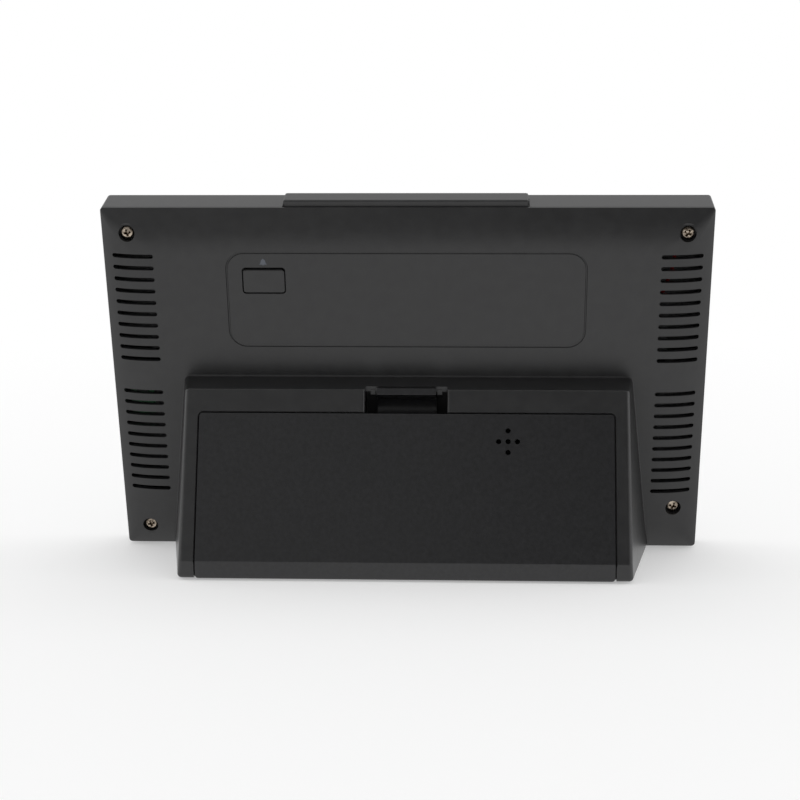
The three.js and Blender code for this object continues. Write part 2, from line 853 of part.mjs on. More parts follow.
function windowLens() {
  const outline = roundedBox(
    windowHalf + lensBorder,
    windowBottom - lensBorder,
    windowTop + lensBorder,
    windowRadius + lensBorder - slip,
  );
  return slab(outline, lensFront, lensBack);
}

function displayGlass() {
  return block([-displayHalf, displayFront, displayBottom], [displayHalf, displayBack, displayTop]);
}

function lightGuide() {
  const half = displayHalf - guideInset;
  const low = [-half, guideFront, displayBottom + guideInset + connectorRoom];
  return block(low, [half - ledStripThick - seat, guideBack, displayTop - guideInset]);
}

// Strip of light-emitting diodes along one end of the light guide
function ledStrip() {
  const right = displayHalf - guideInset;
  const low = displayBottom + guideInset + connectorRoom;
  const high = displayTop - guideInset;
  return block([right - ledStripThick, guideFront, low], [right, guideBack, high]);
}

// Rubber connector strip between the display's lower edge and the board
function connectorStrip() {
  const low = displayBottom + guideInset;
  const half = displayHalf - connectorEnd;
  return block([-half, displayBack + seat, low], [half, boardFront - seat, low + connectorTall]);
}

// Frame that holds the display and the light guide against the front plate
function displayHolder() {
  const outerHalf = displayHalf + seat + holderWall;
  const outerLow = displayBottom - seat - holderWall;
  const outerHigh = displayTop + seat + holderWall;
  const body = block([-outerHalf, displayFront, outerLow], [outerHalf, holderBack, outerHigh]);
  const room = block(
    [-displayHalf - seat, displayFront - past, displayBottom - seat],
    [displayHalf + seat, guideBack + seat, displayTop + seat],
  );
  const window = block(
    [holderLap - displayHalf, displayFront, displayBottom + connectorRoom + holderLap],
    [displayHalf - holderLap, holderBack + past, displayTop - holderLap],
  );
  const connectorWay = block(
    [guideInset - displayHalf, guideBack, displayBottom + guideInset - seat],
    [displayHalf - guideInset, holderBack + past, displayBottom + guideInset + connectorRoom],
  );
  const lugs = boardScrewPlaces().map(({ x, z }) => {
    const above = z > displayTop;
    const low = above ? displayTop + seat + seam : z - earHalf;
    const high = above ? z + earHalf - earTrim : displayBottom - seat - seam;
    return block([x - earHalf, holderLug, low], [x + earHalf, holderBack, high]);
  });
  let holder = joined([body.subtract(room).subtract(window).subtract(connectorWay), ...lugs]);
  boardScrewPlaces().forEach(({ x, z }) => {
    holder = holder.subtract(post(x, z, boardShankRadius + slip, holderLug - past, 0, smallSides));
  });
  return holder;
}

// A part soldered on the back of the main board, given by its centre, half sizes and thickness
function onBoard(x, up, halfWide, halfTall, thick) {
  const low = [x - halfWide, boardBack - into, up - halfTall];
  return block(low, [x + halfWide, boardBack + thick, up + halfTall]);
}

// Main board with its larger parts soldered on
function mainBoard() {
  const pieces = [block([-boardHalf, boardFront, boardBottom], [boardHalf, boardBack, boardTop])];
  [-1, 1].forEach((side) => {
    const x = side * boardPostX;
    const earTop = boardPostTop + earHalf - earTrim;
    pieces.push(block([x - earHalf, boardFront, boardTop - past], [x + earHalf, boardBack, earTop]));
  });
  pieces.push(onBoard(0, chipUp, chipHalf, chipHalf, chipThick));
  pieces.push(onBoard(crystalX, crystalUp, crystalHalf, crystalHalf, crystalThick));
  pieces.push(onBoard(powerPlugX, powerPlugUp, plugHalf, plugHalf, plugThick));
  pieces.push(onBoard(buzzerPlugX, buzzerPlugUp, plugHalf, plugHalf, plugThick));
  let board = joined(pieces);
  boardScrewPlaces().forEach(({ x, z }) => {
    const hole = post(x, z, boardShankRadius + slip, boardFront - past, boardBack + past, smallSides);
    board = board.subtract(hole);
  });
  return board;
}

// Pan head screw along Y, its seat at the origin and its head towards +Y
function panScrew(headRadius, headHeight, shankRadius, shankLength) {
  const profile = [
    [0, -shankLength],
    [shankRadius * tipShare, -shankLength],
    [shankRadius, -shankLength + shankRadius],
    [shankRadius, 0],
    [headRadius, 0],
    [headRadius, headHeight * headRimShare],
    [headRadius * headShoulderShare, headHeight * headShoulderShare],
    [headRadius * headCrownShare, headHeight],
    [0, headHeight],
  ].map(([r, y]) => new THREE.Vector2(r, y));
  const body = solid(new THREE.LatheGeometry(profile, smallSides));
  const arm = headRadius * crossReachShare;
  const wide = headRadius * crossWideShare;
  const floor = headHeight * crossFloorShare;
  const cross = joined([
    block([-arm, floor, -wide], [arm, headHeight + past, wide]),
    block([-wide, floor, -arm], [wide, headHeight + past, arm]),
  ]);
  return body.subtract(cross);
}

// Snooze bar: the cap above the rim, the web through it and the hooks that keep it in
function snoozeBar() {
  const capBottom = panelHeight + snoozeLift;
  const capTop = capBottom + snoozeCap;
  const back = -snoozeBack;
  const front = back - snoozeDeep;
  const capSide = rounded(
    [
      [front, capBottom],
      [back, capBottom],
      [back, capTop],
      [front, capTop],
    ],
    [snoozeUnderEdge, snoozeUnderEdge, snoozeEdge, snoozeEdge],
    snoozeSteps,
  );
  const webHalf = snoozeHalf - snoozeInset;
  const webBack = back - snoozeInset / 2;
  const webFront = front + snoozeInset / 2;
  const cap = bar(capSide, -snoozeHalf, snoozeHalf);
  const web = block([-webHalf, webFront, hookBottom], [webHalf, webBack, capBottom + into]);
  const hollow = block(
    [caseWall - webHalf, webFront + snoozeWebWall, hookBottom - past],
    [webHalf - caseWall, webBack - snoozeWebWall, capBottom - into],
  );
  const presser = block([-presserHalf, webFront, hookBottom], [presserHalf, webBack, capBottom]);
  const hooks = [-1, 1].map((side) => {
    const ends = [side * (webHalf - past), side * (webHalf + snoozeHook)];
    return block([Math.min(...ends), webFront, hookBottom], [Math.max(...ends), webBack, hookTop]);
  });
  return joined([cap, web.subtract(hollow), presser, ...hooks]);
}

// Switch under the snooze bar, on the top edge of the main board
function snoozeSwitch() {
  const plungerTop = hookBottom - snoozeTravel - touch;
  const bodyTop = plungerTop - plungerTall;
  const bodyBack = boardFront + snoozeSwitchDeep;
  const middle = boardFront + snoozeSwitchDeep / 2;
  const body = block([-switchHalf, boardFront, boardTop + seat], [switchHalf, bodyBack, bodyTop]);
  const plungerLow = [-plungerHalf, middle - plungerDeep / 2, bodyTop - into];
  return joined([body, block(plungerLow, [plungerHalf, middle + plungerDeep / 2, plungerTop])]);
}

// Alarm key: its face fills the hole in the cover and a flange behind keeps it in
function alarmButton() {
  const face = roundedBox(
    alarmWidth / 2,
    alarmHeight - alarmTall / 2,
    alarmHeight + alarmTall / 2,
    alarmRadius,
    alarmX,
  );
  const cap = slab(face, alarmFlangeOut - into, swellRise);
  const halfWide = alarmWidth / 2 + alarmFlange;
  const flange = block(
    [alarmX - halfWide, alarmFlangeOut - alarmFlangeThick, alarmHeight - alarmReach],
    [alarmX + halfWide, alarmFlangeOut, alarmHeight + alarmReach],
  );
  const stem = post(alarmX, alarmHeight, alarmStemRadius, alarmStemEnd, alarmFlangeOut, smallSides);
  return joined([cap, flange, stem]);
}

function alarmSwitch() {
  const top = alarmStemEnd - alarmTravel - touch;
  const bodyTop = top - alarmPlungerTall;
  const body = block(
    [alarmX - switchHalf, boardBack + seam, alarmHeight - switchHalf],
    [alarmX + switchHalf, bodyTop, alarmHeight + switchHalf],
  );
  const plunger = post(alarmX, alarmHeight, alarmPlungerRadius, bodyTop - into, top, smallSides);
  return joined([body, plunger]);
}

// Keys under the display and the small board behind them
function keyPlaces() {
  return Array.from({ length: keyCount }, (_, i) => (i - (keyCount - 1) / 2) * keyPitch);
}

function keyPostPlaces() {
  const end = (keyCount / 2) * keyPitch;
  return [-end, end];
}

function keyBody(x, grow, from, to) {
  const outline = roundedBox(
    keyWidth / 2 + grow,
    keyHeight - keyTall / 2 - grow,
    keyHeight + keyTall / 2 + grow,
    keyRadius + grow,
    x,
  );
  return slab(outline, from, to);
}

function frontKey(x) {
  const cap = keyBody(x, 0, faceOut - keyProud, plateBack + seat + into);
  const halfWide = keyWidth / 2 + keyFlange;
  const halfTall = keyTall / 2 + keyFlange;
  const flange = block(
    [x - halfWide, plateBack + seat, keyHeight - halfTall],
    [x + halfWide, keyFlangeBack, keyHeight + halfTall],
  );
  return joined([cap, flange]);
}

// Small board behind the front keys, with a dome under each key
function keyBoard() {
  const half = keyPostPlaces()[1] + bossRadius;
  const low = keyHeight - keyTall / 2 - keyFlange;
  const high = keyHeight + keyTall / 2 + keyFlange;
  const plate = block([-half, keyBoardFront, low], [half, keyBoardBack, high]);
  const domes = keyPlaces().map((x) =>
    post(x, keyHeight, keyDomeRadius, keyBoardFront - keyDomeTall, keyBoardFront + into, smallSides),
  );
  let board = joined([plate, ...domes]);
  keyPostPlaces().forEach((x) => {
    board = board.subtract(post(x, keyHeight, boardShankRadius + slip, keyBoardFront - past, 0, smallSides));
  });
  return board;
}

// Room sensor behind the vents, on a rib of the front housing
function sensorBoard() {
  const plate = block(
    [sensorX - sensorHalf, sensorBack - boardThick, sensorUp - sensorHalfTall],
    [sensorX + sensorHalf, sensorBack, sensorUp + sensorHalfTall],
  );
  const bead = block(
    [sensorX - sensorBead, sensorBack - into, sensorUp - sensorBead],
    [sensorX + sensorBead, sensorBack + sensorBeadThick, sensorUp + sensorBead],
  );
  return joined([plate, bead]);
}

// Receiver for the outdoor sensor, on the back of the main board
function radioModule() {
  const plateFront = boardBack + seat;
  const plateBackside = plateFront + radioThick;
  const plate = block(
    [radioX - radioHalf, plateFront, radioUp - radioHalfTall],
    [radioX + radioHalf, plateBackside, radioUp + radioHalfTall],
  );
  const can = block(
    [radioX - radioCanHalf, plateBackside - into, radioUp - radioCanHalf],
    [radioX + radioCanHalf, plateBackside + radioCanThick, radioUp + radioCanHalf],
  );
  return joined([plate, can]);
}

function rowUp(row) {
  return firstRow + row * rowPitch;
}

// Battery tray in the slope frame: two troughs one above the other, and a flange under the ledge
function batteryTray() {
  const shell = block([-trayHalf, trayFloor - trayWall, trayStart], [trayHalf, flangeFront, trayEnd]);
  const flangeLow = [-trayFlangeHalf, flangeBack, trayStart];
  const flange = block(flangeLow, [trayFlangeHalf, flangeFront, trayFlangeTop]);
  const collarRadius = buzzerRadius + slip + collarWall;
  const collar = post(buzzerX, buzzerUp, collarRadius, flangeBack - collarDeep, flangeFront);
  const room = block([-rowHalf, trayFloor, troughLow], [rowHalf, past, troughHigh]);
  const rib = block(
    [trayWall - rowHalf, trayFloor - into, rowUp(0) + cellRadius + seat],
    [rowHalf - trayWall, cellOut - cellRadius * rowRibShare, rowUp(1) - cellRadius - seat],
  );
  let tray = joined([shell, flange, collar]).subtract(room).add(rib);
  tray = tray.subtract(post(buzzerX, buzzerUp, buzzerRadius + slip, -wellPast, flangeBack));
  tray = tray.subtract(post(buzzerX, buzzerUp, soundHoleRadius, -wellPast, past));
  for (let row = 0; row < cellRows; row += 1) {
    const wayOut = post(0, 0, wireRadius + slip, -wellPast, trayFloor + past, smallSides);
    tray = tray.subtract(wayOut.translate([wireEnd - rowHalf, 0, rowUp(row)]));
  }
  return tray;
}

// AA cell along X, its far end at the origin and its positive end towards +X
function cellGeometry() {
  const shoulder = cellLength - cellNubHeight;
  const profile = [
    [0, 0],
    [cellRadius - cellEdge, 0],
    [cellRadius, cellEdge],
    [cellRadius, shoulder - cellEdge],
    [cellRadius - cellEdge, shoulder],
    [cellNubRadius, shoulder],
    [cellNubRadius, cellLength],
    [0, cellLength],
  ].map(([r, y]) => new THREE.Vector2(r, y));
  const geometry = new THREE.LatheGeometry(profile, roundSides);
  geometry.rotateZ(-Math.PI / 2);
  return solid(geometry);
}

// A contact plate on an end wall of the tray, with a spring cone or a flat dimple for each row
function contact(side, rows) {
  const wallFace = side * (rowHalf - seat);
  const plateFace = wallFace - side * contactThick;
  const low = Math.min(...rows.map((row) => rowUp(row.index))) - contactHalf;
  const high = Math.max(...rows.map((row) => rowUp(row.index))) + contactHalf;
  const plateLow = [Math.min(wallFace, plateFace), cellOut - contactHalf, low];
  const pieces = [block(plateLow, [Math.max(wallFace, plateFace), cellOut + contactHalf, high])];
  rows.forEach(({ index, spring }) => {
    const tall = spring ? springLength : dimpleTall;
    const base = spring ? springRadius : dimpleRadius;
    const geometry = new THREE.CylinderGeometry(base * coneShare, base, tall + coneSunk, smallSides);
    geometry.rotateZ((side * Math.PI) / 2);
    geometry.translate(plateFace - (side * (tall - coneSunk)) / 2, cellOut, rowUp(index));
    pieces.push(solid(geometry));
  });
  return joined(pieces);
}

// Round buzzer behind the five holes of the door
function buzzer() {
  const body = post(0, 0, buzzerRadius, -buzzerTall, 0);
  return body.subtract(post(0, 0, buzzerPort, -buzzerPort, past, smallSides));
}

// Battery door in the slope frame: the sloping face, the upright band below it and three tabs
function batteryDoor() {
  const toSlope = (reach, height) => pairIn(levelToSlope, reach, height);
  const bandReach = creaseReach - bandLean;
  const side = [
    [0, doorFoldEdge],
    toSlope(creaseReach, creaseHeight - doorFoldEdge),
    toSlope(bandReach, doorBandEdge - doorDrop),
    toSlope(bandReach - doorBandEdge, -doorDrop),
    toSlope(bandReach - doorWall, -doorDrop),
    toSlope(bandReach - doorWall, creaseHeight - doorFoldShare * doorWall),
    [-doorWall, doorTop],
    [0, doorTop],
  ];
  const plate = bar(side, -doorHalf, doorHalf);
  const tabs = [];
  for (let i = 0; i < doorTabCount; i += 1) {
    const x = (i - (doorTabCount - 1) / 2) * doorTabPitch;
    const low = [x - doorTabHalf, bandReach - doorWall - doorTabLength, standFloor + seat];
    const high = [x + doorTabHalf, bandReach - doorWall / 2, standFloor + seat + doorTabThick];
    tabs.push(block(low, high, levelToSlope));
  }
  const leg = block(
    [-latchHalf, -latchDepth, doorTop - latchStrip],
    [latchHalf, -doorWall / 2, doorTop],
  );
  let door = joined([plate, ...tabs, leg, latchBend()]);
  soundHoles().forEach(([across, up]) => {
    const radius = buzzerHoleRadius;
    door = door.subtract(post(buzzerX + across, buzzerUp + up, radius, -doorWall - past, past, holeSides));
  });
  return door;
}

// The five sound holes of the door, measured from the middle one
function soundHoles() {
  const pitch = buzzerHolePitch;
  return [
    [0, 0],
    [pitch, 0],
    [-pitch, 0],
    [0, pitch],
    [0, -pitch],
  ];
}

// The bend of the latch's U, a half ring below the leg on the door
function latchBend() {
  const inner = latchThroat / 2;
  const arc = (radius) => {
    const points = [];
    for (let k = 0; k <= latchBendSteps; k += 1) {
      const turn = Math.PI + (Math.PI * k) / latchBendSteps;
      points.push([radius * Math.sin(turn) - latchDepth, doorTop + inner + radius * Math.cos(turn)]);
    }
    return points;
  };
  return bar([...arc(inner + latchStrip), ...arc(inner).reverse()], -latchHalf, latchHalf);
}

// The springy leg of the latch and the bar that a finger pulls down
function doorLatch() {
  const leg = block(
    [-latchHalf, seat - latchDepth, latchLegUp],
    [latchHalf, -seat, latchLegUp + latchStrip],
  );
  const grip = block(
    [-latchHalf, -seat - latchBarThick, latchLegUp],
    [latchHalf, -seat, latchLegUp + latchBarHeight],
  );
  return joined([leg, grip]);
}

// Round foot pad under the stand, or the recess for it when it is grown
function footPad(x, y, sunk, grow, matrix) {
  const radius = footRadius + grow;
  const geometry = new THREE.CylinderGeometry(radius, radius, footProud + sunk, roundSides);
  geometry.rotateX(Math.PI / 2);
  geometry.translate(x, y, (sunk - footProud) / 2);
  return solid(geometry, matrix);
}

// Insulated wire through points of the panel frame
function wire(points, steps) {
  const places = points.map((point) => new THREE.Vector3(...point));
  const curve = new THREE.CatmullRomCurve3(places, false, "centripetal");
  const section = new THREE.Shape();
  section.absarc(0, 0, wireRadius, 0, 2 * Math.PI, false);
  const settings = { steps, curveSegments: wireSides, extrudePath: curve, bevelEnabled: false };
  return solid(new THREE.ExtrudeGeometry(section, settings));
}

// A place straight behind a row's end in the tray, in the panel frame
function terminal(row, offset) {
  const [out, up] = pairIn(slopeToPanel, trayFloor - trayWall - offset, rowUp(row));
  return [wireEnd - rowHalf, out, up];
}

// Battery wire from the tray, up beside the main board, to its plug on the board
function powerWire(row, side) {
  const start = terminal(row, wireStub);
  const bend = terminal(row, wireBend);
  const lane = wireLane - side * wireLaneSpread;
  const plugEdge = powerPlugX - plugHalf;
  const plugHeight = powerPlugUp + side * wireSpread;
  const points = [
    start,
    bend,
    [bend[0] - wireSweep, wireBend + side, bend[2] + wireSpread],
    [lane + wireBend, wireDeep / 2, wireLaneTurn - side * 2 * wireSpread],
    [lane, wireDeep, wireLaneLow],
    [lane, wireDeep, (wireLaneLow + wireLaneHigh) / 2],
    [lane, wireDeep, wireLaneHigh],
    ...(side > 0 ? wireLoop() : []),
    [plugEdge - wireBend, wireDeep, plugHeight + wireSpread],
    [plugEdge - seat, boardBack + plugThick / 2, plugHeight],
  ];
  return wire(points, powerWireSteps);
}

// The loop of spare length in the red wire, out behind the upper vents
function wireLoop() {
  return [
    [-boardHalf - wireLoopNear, wireDeep, powerPlugUp - wireLoopLow],
    [-boardHalf - wireLoopFar, wireDeep, powerPlugUp + wireLoopHigh],
    [-boardHalf - wireLoopNear, wireDeep, powerPlugUp + wireLoopTop],
  ];
}

function buzzerWire(side) {
  const [out, up] = pairIn(slopeToPanel, flangeBack - buzzerTall - seat, buzzerUp);
  const x = buzzerX + side * wireSpread;
  const plugX = buzzerPlugX + side * wireRadius * wirePairShare;
  const plugFace = boardBack + plugThick;
  const points = [
    [x, out - wireStub, up],
    [x + wireStub, out - wireBend / 2, up - wireStub],
    [plugX, plugFace + wireBend / 2, buzzerPlugUp + wireStub],
    [plugX, plugFace + seat, buzzerPlugUp],
  ];
  return wire(points, buzzerWireSteps);
}

// Finishes as the photograph shows them, or as such parts usually are where it doesn't
const finishes = {
  cover: { color: 0x434343, roughness: 0.45, metalness: 0 },
  door: { color: 0x2f2f31, roughness: 0.6, metalness: 0 },
  bezel: { color: 0x3a3a3c, roughness: 0.4, metalness: 0 },
  key: { color: 0x454547, roughness: 0.5, metalness: 0 },
  lens: { color: 0x15181c, roughness: 0.08, metalness: 0 },
  display: { color: 0x6d7a70, roughness: 0.25, metalness: 0 },
  guide: { color: 0xe8ecf0, roughness: 0.3, metalness: 0 },
  frame: { color: 0x3c3c3e, roughness: 0.6, metalness: 0 },
  board: { color: 0x1d5b33, roughness: 0.5, metalness: 0 },
  smallPart: { color: 0x202020, roughness: 0.5, metalness: 0 },
  steel: { color: 0xb3a999, roughness: 0.3, metalness: 1 },
  spring: { color: 0xc9cbd0, roughness: 0.25, metalness: 1 },
  cell: { color: 0x1f4f8a, roughness: 0.35, metalness: 0.3 },
  rubber: { color: 0x161616, roughness: 0.85, metalness: 0 },
  redWire: { color: 0x8c1613, roughness: 0.5, metalness: 0 },
  blackWire: { color: 0x141414, roughness: 0.5, metalness: 0 },
};

const clock = new THREE.Group();
const panel = new THREE.Group();
panel.rotation.x = -lean;
const slope = new THREE.Group();
slope.position.set(0, crease.x, crease.y);
slope.rotation.x = slopeAngle;
const level = new THREE.Group();
clock.add(panel, slope, level);

function place(group, name, body, finish, position = [0, 0, 0], turn = 0) {
  const mesh = new THREE.Mesh(geometryOf(body), new THREE.MeshStandardMaterial(finishes[finish]));
  mesh.name = name;
  mesh.position.set(...position);
  mesh.rotation.z = turn;
  group.add(mesh);
}

place(panel, "front_bezel", frontBezel(), "bezel");
place(panel, "rear_cover", rearCover(), "cover");
place(panel, "window_lens", windowLens(), "lens");
place(panel, "display_glass", displayGlass(), "display");
place(panel, "light_guide", lightGuide(), "guide");
place(panel, "led_strip", ledStrip(), "guide");
place(panel, "connector_strip", connectorStrip(), "rubber");
place(panel, "display_holder", displayHolder(), "frame");
place(panel, "main_board", mainBoard(), "board");
place(panel, "snooze_bar", snoozeBar(), "cover");
place(panel, "snooze_switch", snoozeSwitch(), "smallPart");
place(panel, "alarm_button", alarmButton(), "cover");
place(panel, "alarm_switch", alarmSwitch(), "smallPart");
keyPlaces().forEach((x, i) => place(panel, `front_key_${i + 1}`, frontKey(x), "key"));
place(panel, "key_board", keyBoard(), "board");
place(panel, "sensor_board", sensorBoard(), "board");
place(panel, "radio_module", radioModule(), "board");

caseScrewPlaces().forEach(({ name, x, z }) => {
  const screw = panScrew(caseHeadRadius, caseHeadHeight, caseShankRadius, caseShankLength);
  place(panel, name, screw, "steel", [x, caseSeatDepth + seam, z]);
});
boardScrewPlaces().forEach(({ name, x, z }) => {
  const screw = panScrew(boardHeadRadius, boardHeadHeight, boardShankRadius, boardShankLength);
  place(panel, name, screw, "steel", [x, boardBack + seam, z]);
});
keyPostPlaces().forEach((x, i) => {
  const screw = panScrew(boardHeadRadius, boardHeadHeight, boardShankRadius, keyShankLength);
  const out = keyBoardBack + seam;
  place(panel, `key_board_screw_${i + 1}`, screw, "steel", [x, out, keyHeight]);
});

place(panel, "battery_wire_red", powerWire(0, 1), "redWire");
place(panel, "battery_wire_black", powerWire(1, -1), "blackWire");
place(panel, "buzzer_wire_red", buzzerWire(1), "redWire");
place(panel, "buzzer_wire_black", buzzerWire(-1), "blackWire");

place(slope, "battery_tray", batteryTray(), "door");
place(slope, "battery_door", batteryDoor(), "door");
place(slope, "door_latch", doorLatch(), "door");
place(slope, "buzzer", buzzer(), "smallPart", [buzzerX, flangeBack - seam, buzzerUp]);
for (let row = 0; row < cellRows; row += 1) {
  const turned = row % 2 === 0;
  const start = -rowHalf + seat + contactThick + touch + (turned ? dimpleTall : springLength);
  for (let i = 0; i < cellsPerRow; i += 1) {
    const x = start + i * (cellLength + touch) + (turned ? cellLength : 0);
    const name = `cell_${row * cellsPerRow + i + 1}`;
    place(slope, name, cellGeometry(), "cell", [x, cellOut, rowUp(row)], turned ? Math.PI : 0);
  }
}
place(slope, "contact_positive", contact(-1, [{ index: 0, spring: false }]), "spring");
place(slope, "contact_negative", contact(-1, [{ index: 1, spring: true }]), "spring");
const bridgeRows = [{ index: 0, spring: true }, { index: 1, spring: false }];
place(slope, "contact_bridge", contact(1, bridgeRows), "spring");

footPlaces.forEach(({ name, x, y }) => place(level, name, footPad(x, y, footSunk - seam, 0), "rubber"));

// The origin lies on the ground, midway across and midway from the front edge to the crease
const frontEdgeReach = pairIn(panelFrame, faceOut, frontEdge)[0];
clock.position.set(0, -(frontEdgeReach + creaseReach) / 2, footProud);
clock.updateMatrixWorld(true);

export default clock;
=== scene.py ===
# Digital weather clock, seen from behind: a wide display panel that leans back on its stand.
# Each section below adds one piece or one group of like pieces, in the order of assembly.
import math

import bmesh
import bpy
from mathutils import Matrix, Vector


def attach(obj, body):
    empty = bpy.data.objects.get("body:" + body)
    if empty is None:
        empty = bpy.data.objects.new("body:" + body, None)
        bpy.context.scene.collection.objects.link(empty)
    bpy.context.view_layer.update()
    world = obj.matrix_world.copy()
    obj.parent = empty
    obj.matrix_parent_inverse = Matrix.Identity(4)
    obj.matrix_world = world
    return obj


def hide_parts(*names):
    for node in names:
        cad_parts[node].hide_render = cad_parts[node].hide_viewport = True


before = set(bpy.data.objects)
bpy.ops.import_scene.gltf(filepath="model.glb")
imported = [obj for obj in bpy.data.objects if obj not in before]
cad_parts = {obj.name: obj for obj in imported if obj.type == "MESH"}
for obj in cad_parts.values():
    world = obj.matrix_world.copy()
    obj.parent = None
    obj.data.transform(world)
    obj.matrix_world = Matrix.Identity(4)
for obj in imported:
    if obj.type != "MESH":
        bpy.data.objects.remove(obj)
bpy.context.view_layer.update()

# Camera and studio: the photograph's view, from behind and a little above, with a long lens.
# A plain pale floor, a white surround and large soft lamps. The room beyond the camera is dark,
# and only reflections show it: the far floor there, and a dark screen.
scene = bpy.context.scene
scene.view_settings.view_transform = "Standard"
camera = bpy.data.objects.new("camera", bpy.data.cameras.new("camera"))
camera.data.lens = 80.17
camera.data.sensor_width = 36
camera.data.clip_start = 0.01
view_right = Vector((-0.99899, -0.04503, -0.00233))
view_up = Vector((0.00483, -0.15818, 0.98740))
view_back = Vector((-0.04483, 0.98638, 0.15823))
camera.location = (-0.02688, 0.65416, 0.16559)
camera.rotation_euler = Matrix((view_right, view_up, view_back)).transposed().to_euler()
scene.collection.objects.link(camera)
scene.camera = camera


def new_object(name, points, faces):
    mesh = bpy.data.meshes.new(name)
    mesh.from_pydata([tuple(point) for point in points], [], faces)
    thing = bpy.data.objects.new(name, mesh)
    scene.collection.objects.link(thing)
    return thing


def new_material(name):
    material = bpy.data.materials.new(name)
    material.use_nodes = True
    return material, material.node_tree, material.node_tree.nodes["Principled BSDF"]


def feed(node, inputs):
    """Gives a node's inputs their values, or the outputs that they follow."""
    for key, value in inputs.items():
        for source in value if isinstance(value, list) else [value]:
            if isinstance(source, bpy.types.NodeSocket):
                node.id_data.links.new(source, node.inputs[key])
            else:
                node.inputs[key].default_value = source


def worked(tree, label, kind, inputs=None, **settings):
    """The outputs of a new node of a tree, with its settings and its inputs."""
    node = tree.nodes.new(kind)
    node.label = label
    for key, value in settings.items():
        setattr(node, key, value)
    feed(node, inputs or {})
    return node.outputs


def coloured(tree, factor, stops, kind="LINEAR"):
    """The colour that belongs to a factor from 0 to 1, by stops in rising order."""
    colour = worked(tree, "colours", "ShaderNodeValToRGB", {"Fac": factor})["Color"]
    ramp = colour.node.color_ramp
    ramp.interpolation = kind
    for element, stop in ((ramp.elements[0], stops[0]), (ramp.elements[1], stops[-1])):
        element.position = stop[0]
        element.color = (*stop[1], 1)
    for position, tone in stops[1:-1]:
        ramp.elements.new(position).color = (*tone, 1)
    return colour


def studio_sheet(name, corners, tone, roughness):
    sheet = new_object(name, corners, [(0, 1, 2, 3)])
    material, tree, surface = new_material(name)
    feed(surface, {"Base Color": (tone, tone, tone, 1), "Roughness": roughness})
    sheet.data.materials.append(material)
    return sheet, tree, surface, worked(tree, "place", "ShaderNodeTexCoord")["Object"]


# Far from the clock the floor shows as the white surround, so that no edge of it is seen
floor_corners = [(-4, -4, 0), (4, -4, 0), (4, 4, 0), (-4, 4, 0)]
tree, surface, spot = studio_sheet("studio_floor", floor_corners, 0.93, 0.9)[1:]
reach = worked(tree, "distance", "ShaderNodeVectorMath", {0: spot}, operation="LENGTH")
far = worked(tree, "far off", "ShaderNodeMapRange", {
    "Value": reach["Value"], "From Min": 0.16, "From Max": 0.7, "To Min": 0.35,
}, interpolation_type="SMOOTHSTEP")
rays = worked(tree, "rays", "ShaderNodeLightPath")
shown = worked(tree, "seen far off", "ShaderNodeMath", {
    0: far["Result"], 1: rays["Is Camera Ray"]}, operation="MULTIPLY")
white = worked(tree, "white surround", "ShaderNodeEmission")
mixed = worked(tree, "seen floor", "ShaderNodeMixShader", {
    "Fac": shown[0], 1: surface.outputs[0], 2: white[0]})
# Glossy rays see the floor as emission set by its depth. It is 0.6 on the clock's far side and under it, a
# painted shadow of the clock in reflections. It is white nearer the camera, and black beyond about 0.47 m on
# the camera's side, for the dark room.
backwards = worked(tree, "backwards", "ShaderNodeSeparateXYZ", {0: spot})
reflected_depth = worked(tree, "depth", "ShaderNodeMapRange", {
    "Value": backwards["Y"], "From Min": -0.6, "From Max": 0.6})
painted_reflection_zones = [(0.45, 0.6), (0.53, 1.0), (0.845, 1.0), (0.895, 0.0)]
painted_reflection_zones = coloured(tree, reflected_depth["Result"], [(position, [tone] * 3) for position, tone in painted_reflection_zones])
reflected = worked(tree, "reflected floor", "ShaderNodeEmission", {"Color": painted_reflection_zones})
whole_floor = worked(tree, "whole floor", "ShaderNodeMixShader", {
    "Fac": rays["Is Glossy Ray"], 1: mixed[0], 2: reflected[0]})
feed(tree.nodes["Material Output"], {"Surface": whole_floor[0]})

# A dark sheet seen only in reflections. Its emission grows towards +X, a painted reflection that makes glossy
# faces turned to it lighter on that side.
screen_corners = [(-1.2, 0.95, 0), (1.2, 0.95, 0), (1.2, 0.75, 2.6), (-1.2, 0.75, 2.6)]
screen, tree, surface, spot = studio_sheet("studio_screen", screen_corners, 0.01, 0.9)
across = worked(tree, "across", "ShaderNodeSeparateXYZ", {0: spot})
glow = worked(tree, "shade across", "ShaderNodeMapRange", {
    "Value": across["X"], "From Min": -0.2, "From Max": 0.12, "To Max": 0.34,
}, interpolation_type="SMOOTHSTEP")
feed(surface, {"Emission Color": (1, 1, 1, 1), "Emission Strength": glow["Result"]})
screen.visible_camera = False
screen.visible_diffuse = False
screen.visible_shadow = False

world = bpy.data.worlds.new("studio_surround")
scene.world = world
world.use_nodes = True
tree = world.node_tree
rays = worked(tree, "rays", "ShaderNodeLightPath")
seen = worked(tree, "seen", "ShaderNodeMath", {
    0: rays["Is Camera Ray"], 1: rays["Is Transmission Ray"]}, operation="MAXIMUM")
level = worked(tree, "level", "ShaderNodeMapRange", {"Value": seen[0], "To Min": 0.75})
feed(tree.nodes["Background"], {"Color": (1, 1, 1, 1), "Strength": level["Result"]})


def soft_lamp(name, place, aim, wide, tall, power):
    data = bpy.data.lights.new(name, "AREA")
    data.shape = "RECTANGLE"
    data.size, data.size_y, data.energy = wide, tall, power
    lamp = bpy.data.objects.new(name, data)
    lamp.location = place
    lamp.rotation_euler = (Vector(aim) - Vector(place)).to_track_quat("-Z", "Y").to_euler()
    scene.collection.objects.link(lamp)


